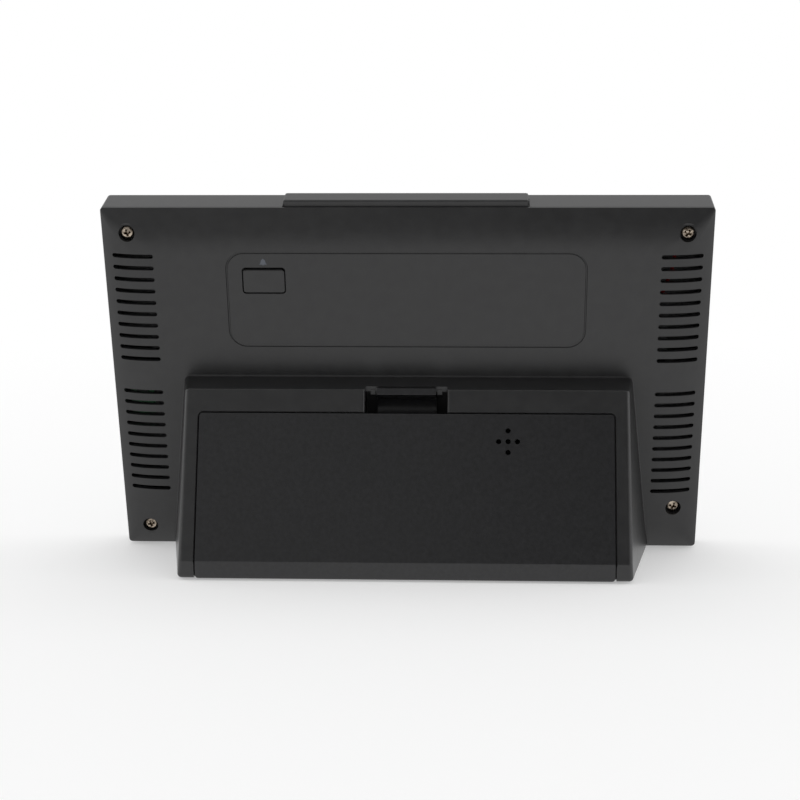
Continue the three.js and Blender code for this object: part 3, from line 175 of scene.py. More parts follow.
soft_lamp("lamp_above", (0, -0.3, 1.7), (0, 0, 0.05), 1.8, 1.4, 6)
soft_lamp("lamp_left", (1.5, -0.2, 0.7), (0, 0, 0.05), 1.0, 0.9, 4.5)
soft_lamp("lamp_right", (-1.5, -0.2, 0.7), (0, 0, 0.05), 1.0, 0.9, 4.5)

# Front housing: the black moulded rim and face that everything else is screwed to. Rounded
# front edges, a stepped window opening, holes for four keys, and posts inside for the screws.
mm = 0.001
lean = math.radians(15.8)
panel_half, panel_tall = 110, 137.2
face_out = -14.6
plate_back = -12.4
case_wall = 2
panel_foot_depth, foot_proud = -0.0208347, 0.0008
level_place = Matrix.Translation((0, panel_foot_depth, foot_proud))
panel_place = level_place @ Matrix.Rotation(-lean, 4, "X")


def rounded(corners, radii, steps=6):
    """The outline of counter-clockwise corners with an arc in place of each."""
    outline = []
    for i, corner in enumerate(corners):
        here = Vector(corner)
        behind = (Vector(corners[i - 1]) - here).normalized()
        ahead = (Vector(corners[(i + 1) % len(corners)]) - here).normalized()
        half = behind.angle(ahead) / 2
        centre = here + (behind + ahead).normalized() * (radii[i] / math.sin(half))
        arm = here + behind * (radii[i] / math.tan(half)) - centre
        way = 1 if ahead.cross(behind) > 0 else -1
        for k in range(steps + 1):
            spin = Matrix.Rotation(way * (math.pi - 2 * half) * k / steps, 2)
            outline.append(centre + spin @ arm)
    return outline


def box_outline(half, low, high, radius, middle=0, steps=6, grow=0):
    """A box with rounded corners, with each of its sides moved out by the growth."""
    left, right = middle - (half + grow), middle + (half + grow)
    corners = [(left, low - grow), (right, low - grow), (right, high + grow), (left, high + grow)]
    return rounded(corners, [max(radius + grow, min(radius, 0.3))] * 4, steps)


def circle(radius, count, across=0, up=0):
    turns = [2 * math.pi * i / count for i in range(count)]
    return [(across + radius * math.cos(turn), up + radius * math.sin(turn)) for turn in turns]


def quarter(radius, steps):
    """A quarter round from edge to face: how far each step still has to go, and how far it has come."""
    turns = [math.pi / 2 * k / steps for k in range(steps + 1)]
    return [(radius * (1 - math.sin(turn)), radius * (1 - math.cos(turn))) for turn in turns]


def loft(name, rings):
    """A closed skin over rings of points with the same count, its faces turned outwards."""
    count = len(rings[0])
    faces = [tuple(range(count)), tuple(range((len(rings) - 1) * count, len(rings) * count))]
    for start in range(0, (len(rings) - 1) * count, count):
        for i in range(count):
            a, b = start + i, start + (i + 1) % count
            faces.append((a, b, b + count, a + count))
    shape = new_object(name, [point for ring in rings for point in ring], faces)
    clean(shape)
    return shape


def clean(shape):
    work = bmesh.new()
    work.from_mesh(shape.data)
    bmesh.ops.remove_doubles(work, verts=work.verts, dist=0.0005)
    bmesh.ops.dissolve_degenerate(work, edges=work.edges, dist=0.0005)
    bmesh.ops.recalc_face_normals(work, faces=work.faces)
    work.to_mesh(shape.data)
    work.free()


def slab(name, outline, start, end):
    """An outline across and up the panel made solid between two depths."""
    return loft(name, [[(x, y, z) for x, z in outline] for y in (start, end)])


def tapered(name, layers, box, middle=0, steps=6):
    """A rounded box that grows or shrinks from each depth to the next."""
    rings = []
    for out, grow in layers:
        rings.append([(x, out, z) for x, z in box_outline(*box, middle, steps, grow)])
    return loft(name, rings)


def bar(name, side, start, end):
    """A side outline of (out, up) made solid from left to right."""
    return loft(name, [[(x, y, z) for y, z in side] for x in (start, end)])


def block(name, low, high):
    side = [(low[1], low[2]), (high[1], low[2]), (high[1], high[2]), (low[1], high[2])]
    return bar(name, side, low[0], high[0])


def post(name, x, z, radius, start, end, sides=48):
    return slab(name, circle(radius, sides, x, z), start, end)


def settled(thing):
    """The mesh that the thing's modifiers give, kept in their place."""
    bpy.context.view_layer.update()
    mesh = bpy.data.meshes.new_from_object(thing.evaluated_get(bpy.context.evaluated_depsgraph_get()))
    thing.modifiers.clear()
    thing.data = mesh


def combine(body, tool, operation):
    """Joins, cuts or trims a body with a tool, which is used up."""
    step = body.modifiers.new("step", "BOOLEAN")
    step.solver = "MANIFOLD"
    step.operation = operation
    step.object = tool
    settled(body)
    bpy.data.objects.remove(tool)


def add(body, tool):
    combine(body, tool, "UNION")


def cut(body, tool):
    combine(body, tool, "DIFFERENCE")


def shade(thing):
    """Smooth shading on the curved parts, flat shading on the flat ones, crisp edges between."""
    thing.data.shade_smooth()
    thing.data.set_sharp_from_angle(angle=math.radians(34))
    step = thing.modifiers.new("even", "WEIGHTED_NORMAL")
    step.keep_sharp = True
    settled(thing)


def fit(thing, body, finish, nodes, place=panel_place):
    """Scales a piece from millimetres into its place and hands it to its body."""
    clean(thing)
    thing.data.transform(place @ Matrix.Scale(mm, 4))
    thing.data.materials.clear()
    thing.data.materials.append(finish)
    shade(thing)
    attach(thing, body)
    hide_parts(*nodes)


def noise(tree, scale, detail=3.0):
    place = worked(tree, "place", "ShaderNodeTexCoord")
    return worked(tree, "noise", "ShaderNodeTexNoise", {
        "Vector": place["Object"], "Scale": scale, "Detail": detail})["Fac"]


def blended(tree, factor, dark, light, spread=(0.3, 0.7)):
    return coloured(tree, factor, [(spread[0], dark), (spread[1], light)])


def ranged(tree, factor, low, high):
    return worked(tree, "range", "ShaderNodeMapRange", {
        "Value": factor, "To Min": low, "To Max": high})["Result"]


def moulded(name, dark, light, rough, grain_scale, grain_depth, patch_scale=220):
    """Moulded plastic: a spark-eroded grain, and a faint cloudiness in colour and gloss."""
    material, tree, surface = new_material(name)
    patch = noise(tree, patch_scale)
    grain = worked(tree, "grain", "ShaderNodeBump", {
        "Strength": 1, "Distance": grain_depth, "Height": noise(tree, grain_scale, 2.0)})
    feed(surface, {
        "Base Color": blended(tree, patch, dark, light),
        "Roughness": ranged(tree, patch, *rough),
        "Normal": grain["Normal"],
    })
    return material


case_plastic = moulded(
    "case_plastic", (0.019, 0.019, 0.0195), (0.024, 0.024, 0.0245), (0.34, 0.42), 2600, 0.000012)

window_hole = (91, 27, 123.5, 2)
sheet_seat = (93.85, 24.15, 126.35, 4.5)
case_screws = [(-100.45, 128.3), (100.45, 128.3), (-100.45, 18.45), (100.45, 9.05)]
board_screws = [(-72, 131.7), (72, 131.7), (-72, 17.3), (72, 17.3)]
key_places = [-45, -15, 15, 45]
key_up = 12.5
key_board_screws = [(-60, key_up), (60, key_up)]


def panel_ring(inset, out, top=1.2, bottom=1.4, lift=1, side=1):
    """The panel's outline at a depth, moved in. Its low edge and its sides move by shares of their own."""
    left, right = inset * side - panel_half, panel_half - inset * side
    low, high = inset * lift, panel_tall - inset
    corners = [(left, low), (right, low), (right, high), (left, high)]
    radii = [max(bottom, 0.3)] * 2 + [max(top, 0.3)] * 2
    return [(x, out, z) for x, z in rounded(corners, radii)]


front_edge = 0.45
rings = []
for inset, back in quarter(front_edge, 6):
    rings.append(panel_ring(inset, face_out + back, 1.2 - inset, 1.4 - inset, lift=3))
rings.append(panel_ring(0, -0.85))
rings.append(panel_ring(0.1, -0.75))
housing = loft("front_housing", rings)
cut(housing, loft("tool", [panel_ring(case_wall, plate_back, 0.4, 0.4), panel_ring(case_wall, 1, 0.4, 0.4)]))
for x, z in case_screws:
    add(housing, post("tool", x, z, 3.8, plate_back - 1, -2.7))
for x, z in board_screws:
    add(housing, post("tool", x, z, 2.5, plate_back - 1, -7.6))
for x, z in key_board_screws:
    add(housing, post("tool", x, z, 2.5, plate_back - 1, -10.2))
cut(housing, slab("tool", box_outline(*window_hole), -16, -11))
cut(housing, slab("tool", box_outline(*sheet_seat), -16, -13))
cut(housing, tapered("tool", ((-14.9, 0.6), (-14.3, 0)), sheet_seat))
for x, z in case_screws + board_screws + key_board_screws:
    cut(housing, post("tool", x, z, 1.2, -11.9, 1, 24))
key_hole = (7.35, key_up - 3.35, key_up + 3.35, 1.35)
for x in key_places:
    cut(housing, slab("tool", box_outline(*key_hole, x), -16, -11.9))
    cut(housing, tapered("tool", ((-14.85, 0.5), (-14.35, 0)), key_hole, x))
cut(housing, block("tool", (-43.05, -9.3, 134.2), (43.05, -1.25, 138.2)))
cut(housing, block("tool", (-44.25, -9.9, 136), (44.25, 0, 138.2)))
fit(housing, "housing", case_plastic, ["front_bezel"])

# Back cover: one black moulding with a swollen back, the battery stand and the vents. It has
# the door's opening with a ledge round it, a finger pocket, a thin frame for a label, the hole
# for the alarm key and screw bosses inside. Its lip fits into the front housing.
swell_rise, swell_border = 4, 17
crease = Vector((55.5, 6.4))
brow = Vector((34.7, 65.9))
slope_angle = math.atan2(crease.x - brow.x, brow.y - crease.y)
door_top = (brow - crease).length - 8.83
door_half = 75.4
stand_foot_half, stand_flare, stand_taper = 81.8, 0.183, 0.07


def turned(point, angle):
    return Matrix.Rotation(angle, 2) @ Vector(point)


def to_panel(reach, height):
    """A place behind and above the panel's bottom back edge, in the leaning panel's own frame."""
    return turned((reach, height), lean)


def slope_to_level(out, up):
    return turned((out, up), slope_angle) + crease


def from_slope(out, up):
    """A place out from the slope and up along it, in the leaning panel's own frame."""
    return to_panel(*slope_to_level(out, up))


def swell_at(inset):
    """How far the back stands out at a distance from the panel's edge."""
    return swell_rise * (1 - (1 - min(inset / swell_border, 1)) ** 2)


def stand_half(out, up):
    """The stand's half width, which grows towards the panel and shrinks upwards."""
    reach, height = turned((out, up), -lean)
    return stand_foot_half + stand_flare * (crease.x - reach) - stand_taper * height


def stand_side(front):
    """The stand's corners in a side view, from a depth inside the panel to the slope."""
    corners = [to_panel(55.4, 0), to_panel(*crease), to_panel(*brow)]
    return [Vector((front, front * math.tan(lean)))] + corners + [Vector((front, corners[2].y))]


def moved_in(corners, insets):
    """The corners after each side of the outline moves in by its own amount."""
    lines = []
    for i, corner in enumerate(corners):
        along = (corners[(i + 1) % len(corners)] - corner).normalized()
        lines.append((corner + Vector((-along.y, along.x)) * insets[i], along))
    moved = []
    for i in range(len(corners)):
        (start, along), (other, across) = lines[i - 1], lines[i]
        gap = other - start
        travel = gap.cross(across) / along.cross(across)
        moved.append(start + along * travel)
    return moved


def stand_ring(corners, radii, side, trim, steps=8):
    ring = rounded(corners, radii, steps)
    return [(side * (stand_half(out, up) - trim), out, up) for out, up in ring]


rings = [panel_ring(0, -0.6), panel_ring(0, -0.1), panel_ring(0.05, 0.015)]
for k in range(1, 25):
    inset = swell_border * k / 24
    steep = 1 - 0.42 * (1 - k / 24) ** 1.2
    rings.append(panel_ring(inset, swell_at(inset), 1.2 + 0.3 * inset, 1.4 + 0.3 * inset, side=steep))
cover = loft("back_cover", rings)
add(cover, loft("tool", [panel_ring(2.3, -2.4, 0.3, 0.3), panel_ring(2.3, 0, 0.3, 0.3)]))

edge_radii = [0.3, 1.2, 1.8, 1.2, 0.3]
side_edge = 1.6
half_rings = []
for inset, trim in quarter(side_edge, 7):
    corners = moved_in(stand_side(0), [inset] * 4 + [0])
    half_rings.append((corners, [max(radius - inset, 0.3) for radius in edge_radii], trim))
rings = [stand_ring(corners, radii, -1, trim) for corners, radii, trim in half_rings]
rings += [stand_ring(corners, radii, 1, trim) for corners, radii, trim in reversed(half_rings)]
add(cover, loft("tool", rings))

# The soft inside corner between the back and the stand, a closed shape that is joined on
stand_top = stand_side(0)[3].y
fillet, side_fillet, fillet_out = 0.9, 1, 0.55
fillet_ups = [*range(0, 15, 2), *range(17, 67, 7)]
rounds = quarter(1, 11)
rings = []
for (spread, risen), sunk in zip(rounds[:1] + rounds, [3] + [0.03] * 12):
    out = fillet_out * risen - sunk
    top_spread, side_spread = fillet * spread, side_fillet * spread
    side = [(stand_half(4 + out, up) + side_spread - 0.3, up) for up in fillet_ups]
    corner = (stand_half(4 + out, stand_top) + side_spread - 0.3, stand_top + top_spread)
    radii = [0.1, 0.1, 1.5 + side_spread, 0.1]
    side += rounded([side[0], (corner[0], 0), corner, (0, corner[1])], radii)[14:21]
    ring = [(x, max(swell_at(up) + out, -0.3), up) for x, up in side]
    rings.append(ring + [(-x, y, z) for x, y, z in reversed(ring)])
add(cover, loft("tool", rings))

rings = [panel_ring(3.5, -3.4, 1, 1)]
for k in range(9):
    inset = 3.5 + (swell_border - 3.5) * k / 8
    rings.append(panel_ring(inset, swell_at(inset) - case_wall, 1, 1))
cut(cover, loft("tool", rings))
corners = moved_in(stand_side(-3.4), [2, 4.2, 4.2, 2, 0])
cut(cover, loft("tool", [stand_ring(corners, [0.3] * 5, side, 2.2) for side in (-1, 1)]))
for x, z in case_screws:
    add(cover, post("tool", x, z, 3.8, -2.1, swell_at(panel_half - abs(x)) - 1))

label_frame = (64.9, 85.1, 121.4, 6.3)
groove = tapered("tool", ((3.65, 0.2), (4, 0.38), (5, 0.38)), label_frame, 0, 10)
cut(groove, tapered("inner", ((3.65, -0.2), (4, -0.38), (5, -0.38)), label_frame, 0, 10))
cut(cover, groove)

alarm_x, alarm_up, alarm_wide, alarm_tall = 51.5, 110.45, 7.5, 4.4
alarm_hole = (alarm_wide, alarm_up - alarm_tall, alarm_up + alarm_tall + 0.5, 1)
cut(cover, tapered("tool", ((-2, 0.35), (3.85, 0.35), (4, 0.47), (5, 1)), alarm_hole, alarm_x))

for x, z in case_screws:
    cut(cover, post("tool", x, z, 2.95, 0.2, 5))
    cut(cover, post("tool", x, z, 1.5, -3.4, 1.2, 24))
cut(cover, block("tool", (-45.75, -29.2, 129.7), (45.75, -0.6, 138.2)))

# The door's opening: a rebate with rounded corners, and the way into the battery bay. The two
# distances outside the stand only have to clear it
gap = 0.45
door_seat, bay_wall, floor_up = -2.1, -5.2, 2
outside, behind = 25, 80.5


def level_window(grow, low, high):
    """A level bar with rounded corners that trims the door, or its rebate when grown."""
    left, right = -door_half - grow, door_half + grow
    corners = [(left, low - grow), (right, low - grow), (right, high + grow), (left, high + grow)]
    return slab("window", rounded(corners, [1.5 + grow] * 2 + [1.6 + grow] * 2), 20, 85)


def to_lean(thing):
    """Turns a level tool into the leaning panel's own frame."""
    thing.data.transform(Matrix.Rotation(lean, 4, "X"))
    return thing


level_top = slope_to_level(0, door_top).y
rebate = [
    from_slope(outside, door_top + gap),
    from_slope(door_seat, door_top + gap),
    to_panel(53.3, 6.4),
    to_panel(53.3, floor_up),
    to_panel(51.8, floor_up),
    to_panel(51.8, -3),
    to_panel(behind, -3),
]
rebate_tool = bar("tool", rebate, -door_half - gap, door_half + gap)
combine(rebate_tool, to_lean(level_window(gap, -12, level_top)), "INTERSECT")
cut(cover, rebate_tool)
mouth = []
for out, grow in ((-0.4, gap), (0.05, gap + 0.35), (0.8, gap + 0.35)):
    side, top = door_half + grow, door_top + grow
    corners = [(-side, -3), (side, -3), (side, top), (-side, top)]
    outline = rounded(corners, [0.5, 0.5, 1.6 + grow, 1.6 + grow])
    mouth.append([(x, *from_slope(out, up)) for x, up in outline])
cut(cover, loft("tool", mouth))
opening = [
    from_slope(outside, door_top - 3),
    from_slope(bay_wall, door_top - 3),
    to_panel(50.3, floor_up),
    to_panel(behind, floor_up),
]
cut(cover, bar("tool", opening, 3 - door_half, door_half - 3))

# The finger pocket: a wall round it inside, its hollow, two shoulders, and rounded side edges
brow_out, brow_up = to_panel(*brow)
pocket_front, pocket_back, wall_back = brow_out - 2.8, brow_out - 9.2, brow_out - 10.6
under_out, under_up = from_slope(-6.8, door_top - 4.25)
pocket_wall = [
    (wall_back, under_up - 2.4),
    (under_out, under_up),
    from_slope(-6.8, door_top - 2.55),
    from_slope(-2.4, door_top - 2.55),
    (pocket_front, brow_up - 0.5),
    (wall_back, brow_up - 0.5),
]
add(cover, bar("tool", pocket_wall, -16.4, 16.4))
low_out, low_up = from_slope(bay_wall, door_top - 3.5)
pocket = [
    (low_out, low_up),
    (brow_out + outside, low_up),
    (brow_out + outside, brow_up + 1),
    (pocket_front, brow_up + 1),
    (pocket_front, brow_up - 2),
    (pocket_back, brow_up - 2),
    (pocket_back, low_up - 2.4),
]
cut(cover, bar("tool", pocket, -15, 15))
shoulder = [
    (brow_out - 4.4, brow_up - 2.6),
    (brow_out - 2.6, brow_up - 3.2),
    (brow_out - 2.6, brow_up - 1.2),
    (brow_out - 4.4, brow_up - 1.2),
]
soft_edge = 1.1
soft = [(along, -deep) for deep, along in quarter(soft_edge, 7)]
soft += [(soft_edge, 0.6), (-0.4, 0.6), (-0.4, -soft_edge)]
for side in (-1, 1):
    ends = sorted((side * 11.35, side * 13.1))
    add(cover, bar("tool", shoulder, *ends))
    edge = []
    for up in (door_top - 2, door_top + 12):
        edge.append([(side * (15 + across), *from_slope(out, up)) for across, out in soft])
    cut(cover, loft("tool", edge))

# Recesses for the feet, and a flat underside
foot_places = [(x, y) for x in (-68.5, 68.5) for y in (8, 44)]
for x, y in foot_places:
    recess = post("tool", x, y, 4.7, -0.7, 5)
    recess.data.transform(Matrix.Rotation(math.pi / 2, 4, "X"))
    cut(cover, to_lean(recess))
cut(cover, to_lean(block("tool", (-150, -60, -50), (150, 120, 0))))


def new_tree(name, sizes):
    """A Geometry Nodes tree with a shape in, a shape out, and a named input for each size."""
    tree = bpy.data.node_groups.new(name, "GeometryNodeTree")
    face = tree.interface
    face.new_socket("Shape", in_out="INPUT", socket_type="NodeSocketGeometry")
    for label, value in sizes.items():
        kind = {int: "NodeSocketInt", float: "NodeSocketFloat"}.get(type(value), "NodeSocketObject")
        kind = "NodeSocketMaterial" if isinstance(value, bpy.types.Material) else kind
        face.new_socket(label, in_out="INPUT", socket_type=kind)
    face.new_socket("Shape", in_out="OUTPUT", socket_type="NodeSocketGeometry")
    return tree, worked(tree, "sizes", "NodeGroupInput")


def ended(tree, shape, finish):
    """Ends a tree with its shape as one mesh in a finish."""
    whole = worked(tree, "realized", "GeometryNodeRealizeInstances", {"Geometry": shape})
    whole = worked(tree, "finish", "GeometryNodeSetMaterial", {
        "Geometry": whole["Geometry"], "Material": finish})
    worked(tree, "result", "NodeGroupOutput", {"Shape": whole["Geometry"]})


def grown(thing, tree, sizes):
    """Runs a tree on a thing and keeps what it makes as a plain mesh."""
    step = thing.modifiers.new("tree", "NODES")
    step.node_group = tree
    for socket in tree.interface.items_tree:
        if socket.in_out == "INPUT" and socket.name in sizes:
            step[socket.identifier] = sizes[socket.name]
    settled(thing)


# The vents: forty slots with round ends, in two groups of ten rows on each side
vents = {
    "Rows in a group": 10,
    "Rows between groups": 2,
    "Row pitch": 4.48,
    "Top row": 119.9,
    "Distance from the middle": 98.9,
    "Slot length": 15.1,
    "Slot height": 1.6,
    "Plastic": case_plastic,
}
tree, size = new_tree("vent_slots", vents)
shape = worked(tree, "slot outline", "GeometryNodeCurvePrimitiveQuadrilateral", {
    "Width": size["Slot length"], "Height": size["Slot height"]})
end_radius = worked(tree, "end radius", "ShaderNodeMath", {
    0: size["Slot height"], 1: 0.498}, operation="MULTIPLY")
shape = worked(tree, "round ends", "GeometryNodeFilletCurve", {
    "Curve": shape["Curve"], "Radius": end_radius[0], "Count": 7}, mode="POLY")
shape = worked(tree, "slot face", "GeometryNodeFillCurve", {"Curve": shape["Curve"]}, mode="NGONS")
pulled = worked(tree, "slot depth", "GeometryNodeExtrudeMesh", {
    "Mesh": shape["Mesh"], "Offset Scale": 9.0, "Individual": False})
under = worked(tree, "slot end", "GeometryNodeFlipFaces", {"Mesh": shape["Mesh"]})
joined = worked(tree, "slot skin", "GeometryNodeJoinGeometry", {
    "Geometry": [under["Mesh"], pulled["Mesh"]]})
closed = worked(tree, "slot body", "GeometryNodeMergeByDistance", {
    "Geometry": joined["Geometry"], "Distance": 0.001})
slot_body = worked(tree, "slot out of the back", "GeometryNodeTransform", {
    "Geometry": closed["Geometry"], "Translation": (0, 6, 0), "Rotation": (math.pi / 2, 0, 0)})
down = worked(tree, "downwards", "ShaderNodeMath", {0: size["Row pitch"], 1: -1.0}, operation="MULTIPLY")
row_step = worked(tree, "row step", "ShaderNodeCombineXYZ", {"Z": down[0]})
lower = worked(tree, "first lower row", "ShaderNodeMath", {
    0: size["Rows in a group"], 1: size["Rows between groups"]}, operation="ADD")
lower = worked(tree, "top of the lower group", "ShaderNodeMath", {
    0: lower[0], 1: down[0], 2: size["Top row"]}, operation="MULTIPLY_ADD")
columns = []
for side in (-1.0, 1.0):
    across = worked(tree, "side", "ShaderNodeMath", {
        0: size["Distance from the middle"], 1: side}, operation="MULTIPLY")
    for top in (size["Top row"], lower[0]):
        start = worked(tree, "first slot", "ShaderNodeCombineXYZ", {"X": across[0], "Z": top})
        columns.append(worked(tree, "column", "GeometryNodeMeshLine", {
            "Count": size["Rows in a group"], "Start Location": start[0], "Offset": row_step[0]})["Mesh"])
columns = worked(tree, "columns", "GeometryNodeJoinGeometry", {"Geometry": columns})
slots = worked(tree, "slots", "GeometryNodeInstanceOnPoints", {
    "Points": columns["Geometry"], "Instance": slot_body["Geometry"]})
slots = worked(tree, "slot bodies", "GeometryNodeRealizeInstances", {"Geometry": slots["Instances"]})
opened = worked(tree, "cut the slots", "GeometryNodeMeshBoolean", {
    "Mesh 1": size["Shape"], "Mesh 2": slots["Geometry"]}, operation="DIFFERENCE", solver="MANIFOLD")
ended(tree, opened["Mesh"], size["Plastic"])
grown(cover, tree, vents)
fit(cover, "housing", case_plastic, ["rear_cover"])

# Case screws: four nickel plated pan head screws with a cross recess, sunk in the back cover.
# They run through its bosses into the posts of the front housing. Like screws hold the boards.
nickel, tree, surface = new_material("nickel_plate")
tarnish = noise(tree, 900)
feed(surface, {
    "Base Color": blended(tree, tarnish, (0.1, 0.078, 0.058), (0.56, 0.48, 0.39), (0.36, 0.64)),
    "Roughness": ranged(tree, tarnish, 0.34, 0.16),
    "Metallic": 1,
})


def lathe(name, side, count):
    """A side outline of (radius, along) turned about the panel's depth."""
    rings = []
    for radius, along in side:
        rings.append([(x, along, z) for x, z in circle(radius, count)])
    return loft(name, rings)


def pan_screw(head, height, shank, length):
    """One screw along the panel's depth, its seat at the origin and its head outwards."""
    side = [(0, -length), (shank * 0.45, -length + 0.2), (shank, -length + shank)]
    side += [(shank, -0.05), (head * 0.94, 0), (head, height * 0.12), (head, height * 0.42)]
    for short, inwards in quarter(1, 6)[1:]:
        side.append((head * (1 - 0.45 * inwards), height * (0.88 - 0.46 * short)))
    side += [(head * 0.3, height * 0.97), (0, height)]
    screw = lathe("screw", side, 40)
    arm, wide = head * 0.62, head * 0.17
    for turn in (0, math.pi / 2):
        rings = []
        for out, reach, half in (
            (height * 0.25, arm * 0.35, wide * 0.5),
            (height + 0.3, arm * 1.12, wide * 1.25),
        ):
            rings.append([(-reach, out, -half), (reach, out, -half), (reach, out, half), (-reach, out, half)])
        wing = loft("tool", rings)
        wing.data.transform(Matrix.Rotation(turn, 4, "Y"))
        cut(screw, wing)
    return screw


def screw_set(name, seats, screw, finish, nodes):
    """Screws on their seats, each stopped at its own turn by the same seed."""
    sizes = {"Screw": screw, "Most turn": 1.5, "Seed": 4, "Metal": finish}
    tree, size = new_tree(name, sizes)
    one = worked(tree, "screw", "GeometryNodeObjectInfo", {
        "Object": size["Screw"]}, transform_space="ORIGINAL")
    chance = worked(tree, "turn", "FunctionNodeRandomValue", {
        2: 0.0, 3: size["Most turn"], "Seed": size["Seed"]})
    turn = worked(tree, "about its axis", "ShaderNodeCombineXYZ", {"Y": chance[1]})
    placed = worked(tree, "screws", "GeometryNodeInstanceOnPoints", {
        "Points": size["Shape"], "Instance": one["Geometry"], "Rotation": turn[0]})
    ended(tree, placed["Instances"], size["Metal"])
    screws = new_object(name, seats, [])
    grown(screws, tree, sizes)
    bpy.data.objects.remove(screw)
    fit(screws, "housing", finish, nodes)


corner_names = ["top_left", "top_right", "bottom_left", "bottom_right"]
for name, places, seat, sizes, ends in (
    ("case_screw", case_screws, 0.35, (2.5, 1.7, 1.15, 9), corner_names),
    ("board_screw", board_screws, -3.25, (1.9, 1.3, 0.95, 7), corner_names),
    ("key_board_screw", key_board_screws, -8.55, (1.9, 1.3, 0.95, 3.1), ["1", "2"]),
):
    seats = [(x, seat, z) for x, z in places]
    screw_set(name + "s", seats, pan_screw(*sizes), nickel, [name + "_" + end for end in ends])

# Snooze bar: a long grey-black key along the top edge, moulded with a web that drops through
# the rim and two hooks that keep it in. Its smooth cap sits in a shallow recess of the rim.
bar_half = 43.9
snooze_plastic = moulded(
    "snooze_plastic", (0.022, 0.022, 0.0225), (0.027, 0.027, 0.0275), (0.38, 0.46), 3000, 0.000008)
cap_side = [Vector(corner) for corner in ((-9.55, 136.85), (-1, 136.85), (-1, 139.65), (-9.55, 139.65))]
cap_rings = []
for along, inset in ((0, 0.6), (0.1, 0.36), (0.32, 0.15), (0.7, 0)):
    side = rounded(moved_in(cap_side, [inset] * 4), [0.1, 0.1, 0.7 - inset, 0.7 - inset], 5)
    cap_rings.append([(along - bar_half, y, z) for y, z in side])
cap_rings += [[(-x, y, z) for x, y, z in ring] for ring in reversed(cap_rings)]
snooze = loft("snooze_bar_cap", cap_rings)
hook_top, hook_low = 134.9, 133.4
add(snooze, block("tool", (-42.7, -8.95, hook_low), (42.7, -1.6, 138.65)))
cut(snooze, block("tool", (-40.7, -7.55, hook_low - 1), (40.7, -3, 137.65)))
add(snooze, block("tool", (-4, -8.95, hook_low), (4, -1.6, 138.2)))
for side in (-1, 1):
    ends = sorted((side * 41.7, side * 44.2))
    add(snooze, block("tool", (ends[0], -8.95, hook_low), (ends[1], -1.6, hook_top)))
fit(snooze, "snooze_bar_body", snooze_plastic, ["snooze_bar"])

# Alarm key: a small flat black key in the back, moulded with a flange and a stem that works a
# switch. Its face is softened all round. A plain bell stands above it, pad printed in grey.
alarm = tapered(
    "alarm_key",
    ((1.2, 0), (3.65, 0), (3.82, -0.05), (3.92, -0.2), (3.96, -0.5)),
    (alarm_wide, alarm_up - alarm_tall, alarm_up + alarm_tall, 0.9),
    alarm_x,
)
add(alarm, block("tool", (alarm_x - 9.3, 0.7, alarm_up - 6.3), (alarm_x + 9.3, 1.7, alarm_up + 6.3)))
add(alarm, post("tool", alarm_x, alarm_up, 2, 0.4, 1.2))
fit(alarm, "alarm_button_body", case_plastic, ["alarm_button"])

print_ink = moulded("print_grey", (0.085, 0.095, 0.11), (0.1, 0.11, 0.13), (0.5, 0.6), 1500, 0.000002)
sign_up = alarm_up + 6.5
bell_side = [
    (1.32, 0), (1.32, 0.19), (1.02, 0.43), (0.87, 0.94),
    (0.78, 1.45), (0.56, 1.83), (0.19, 2.02), (0.15, 2.26),
]
bell = [(alarm_x + x, sign_up + z) for x, z in bell_side]
bell += [(alarm_x - x, sign_up + z) for x, z in reversed(bell_side)]
sign = slab("alarm_sign", bell, 3.98, 4.02)
add(sign, slab("tool", box_outline(0.36, sign_up - 0.26, sign_up + 0.09, 0.16, alarm_x), 3.98, 4.02))
fit(sign, "housing", print_ink, ["rear_cover"])

# Battery door: a plain flat cover with a fine spark texture, bent over the foot of the stand.
# It turns on three tabs at its lower edge, and a springy U-shaped latch holds its upper one.
# The five holes in it let the buzzer's sound out.
door_plastic = moulded(
    "door_plastic", (0.0138, 0.0138, 0.0147), (0.0195, 0.0195, 0.021), (0.32, 0.38), 2400, 0.00003, 700)
slope_start = Matrix.Translation((0, panel_foot_depth + crease.x * mm, foot_proud + crease.y * mm))
slope_place = slope_start @ Matrix.Rotation(slope_angle, 4, "X")


def to_slope(reach, height):
    """A place behind and above the panel's bottom back edge, in the slope's own frame."""
    return turned(Vector((reach, height)) - crease, -slope_angle)


def from_level(thing):
    """Turns a level tool into the slope's own frame."""
    to_crease = Matrix.Translation((0, -crease.x, -crease.y))
    thing.data.transform(Matrix.Rotation(-slope_angle, 4, "X") @ to_crease)
    return thing


def bevelled(thing, width, segments, angle):
    step = thing.modifiers.new("edge", "BEVEL")
    step.width = width
    step.segments = segments
    step.limit_method = "ANGLE"
    step.angle_limit = math.radians(angle)
    settled(thing)


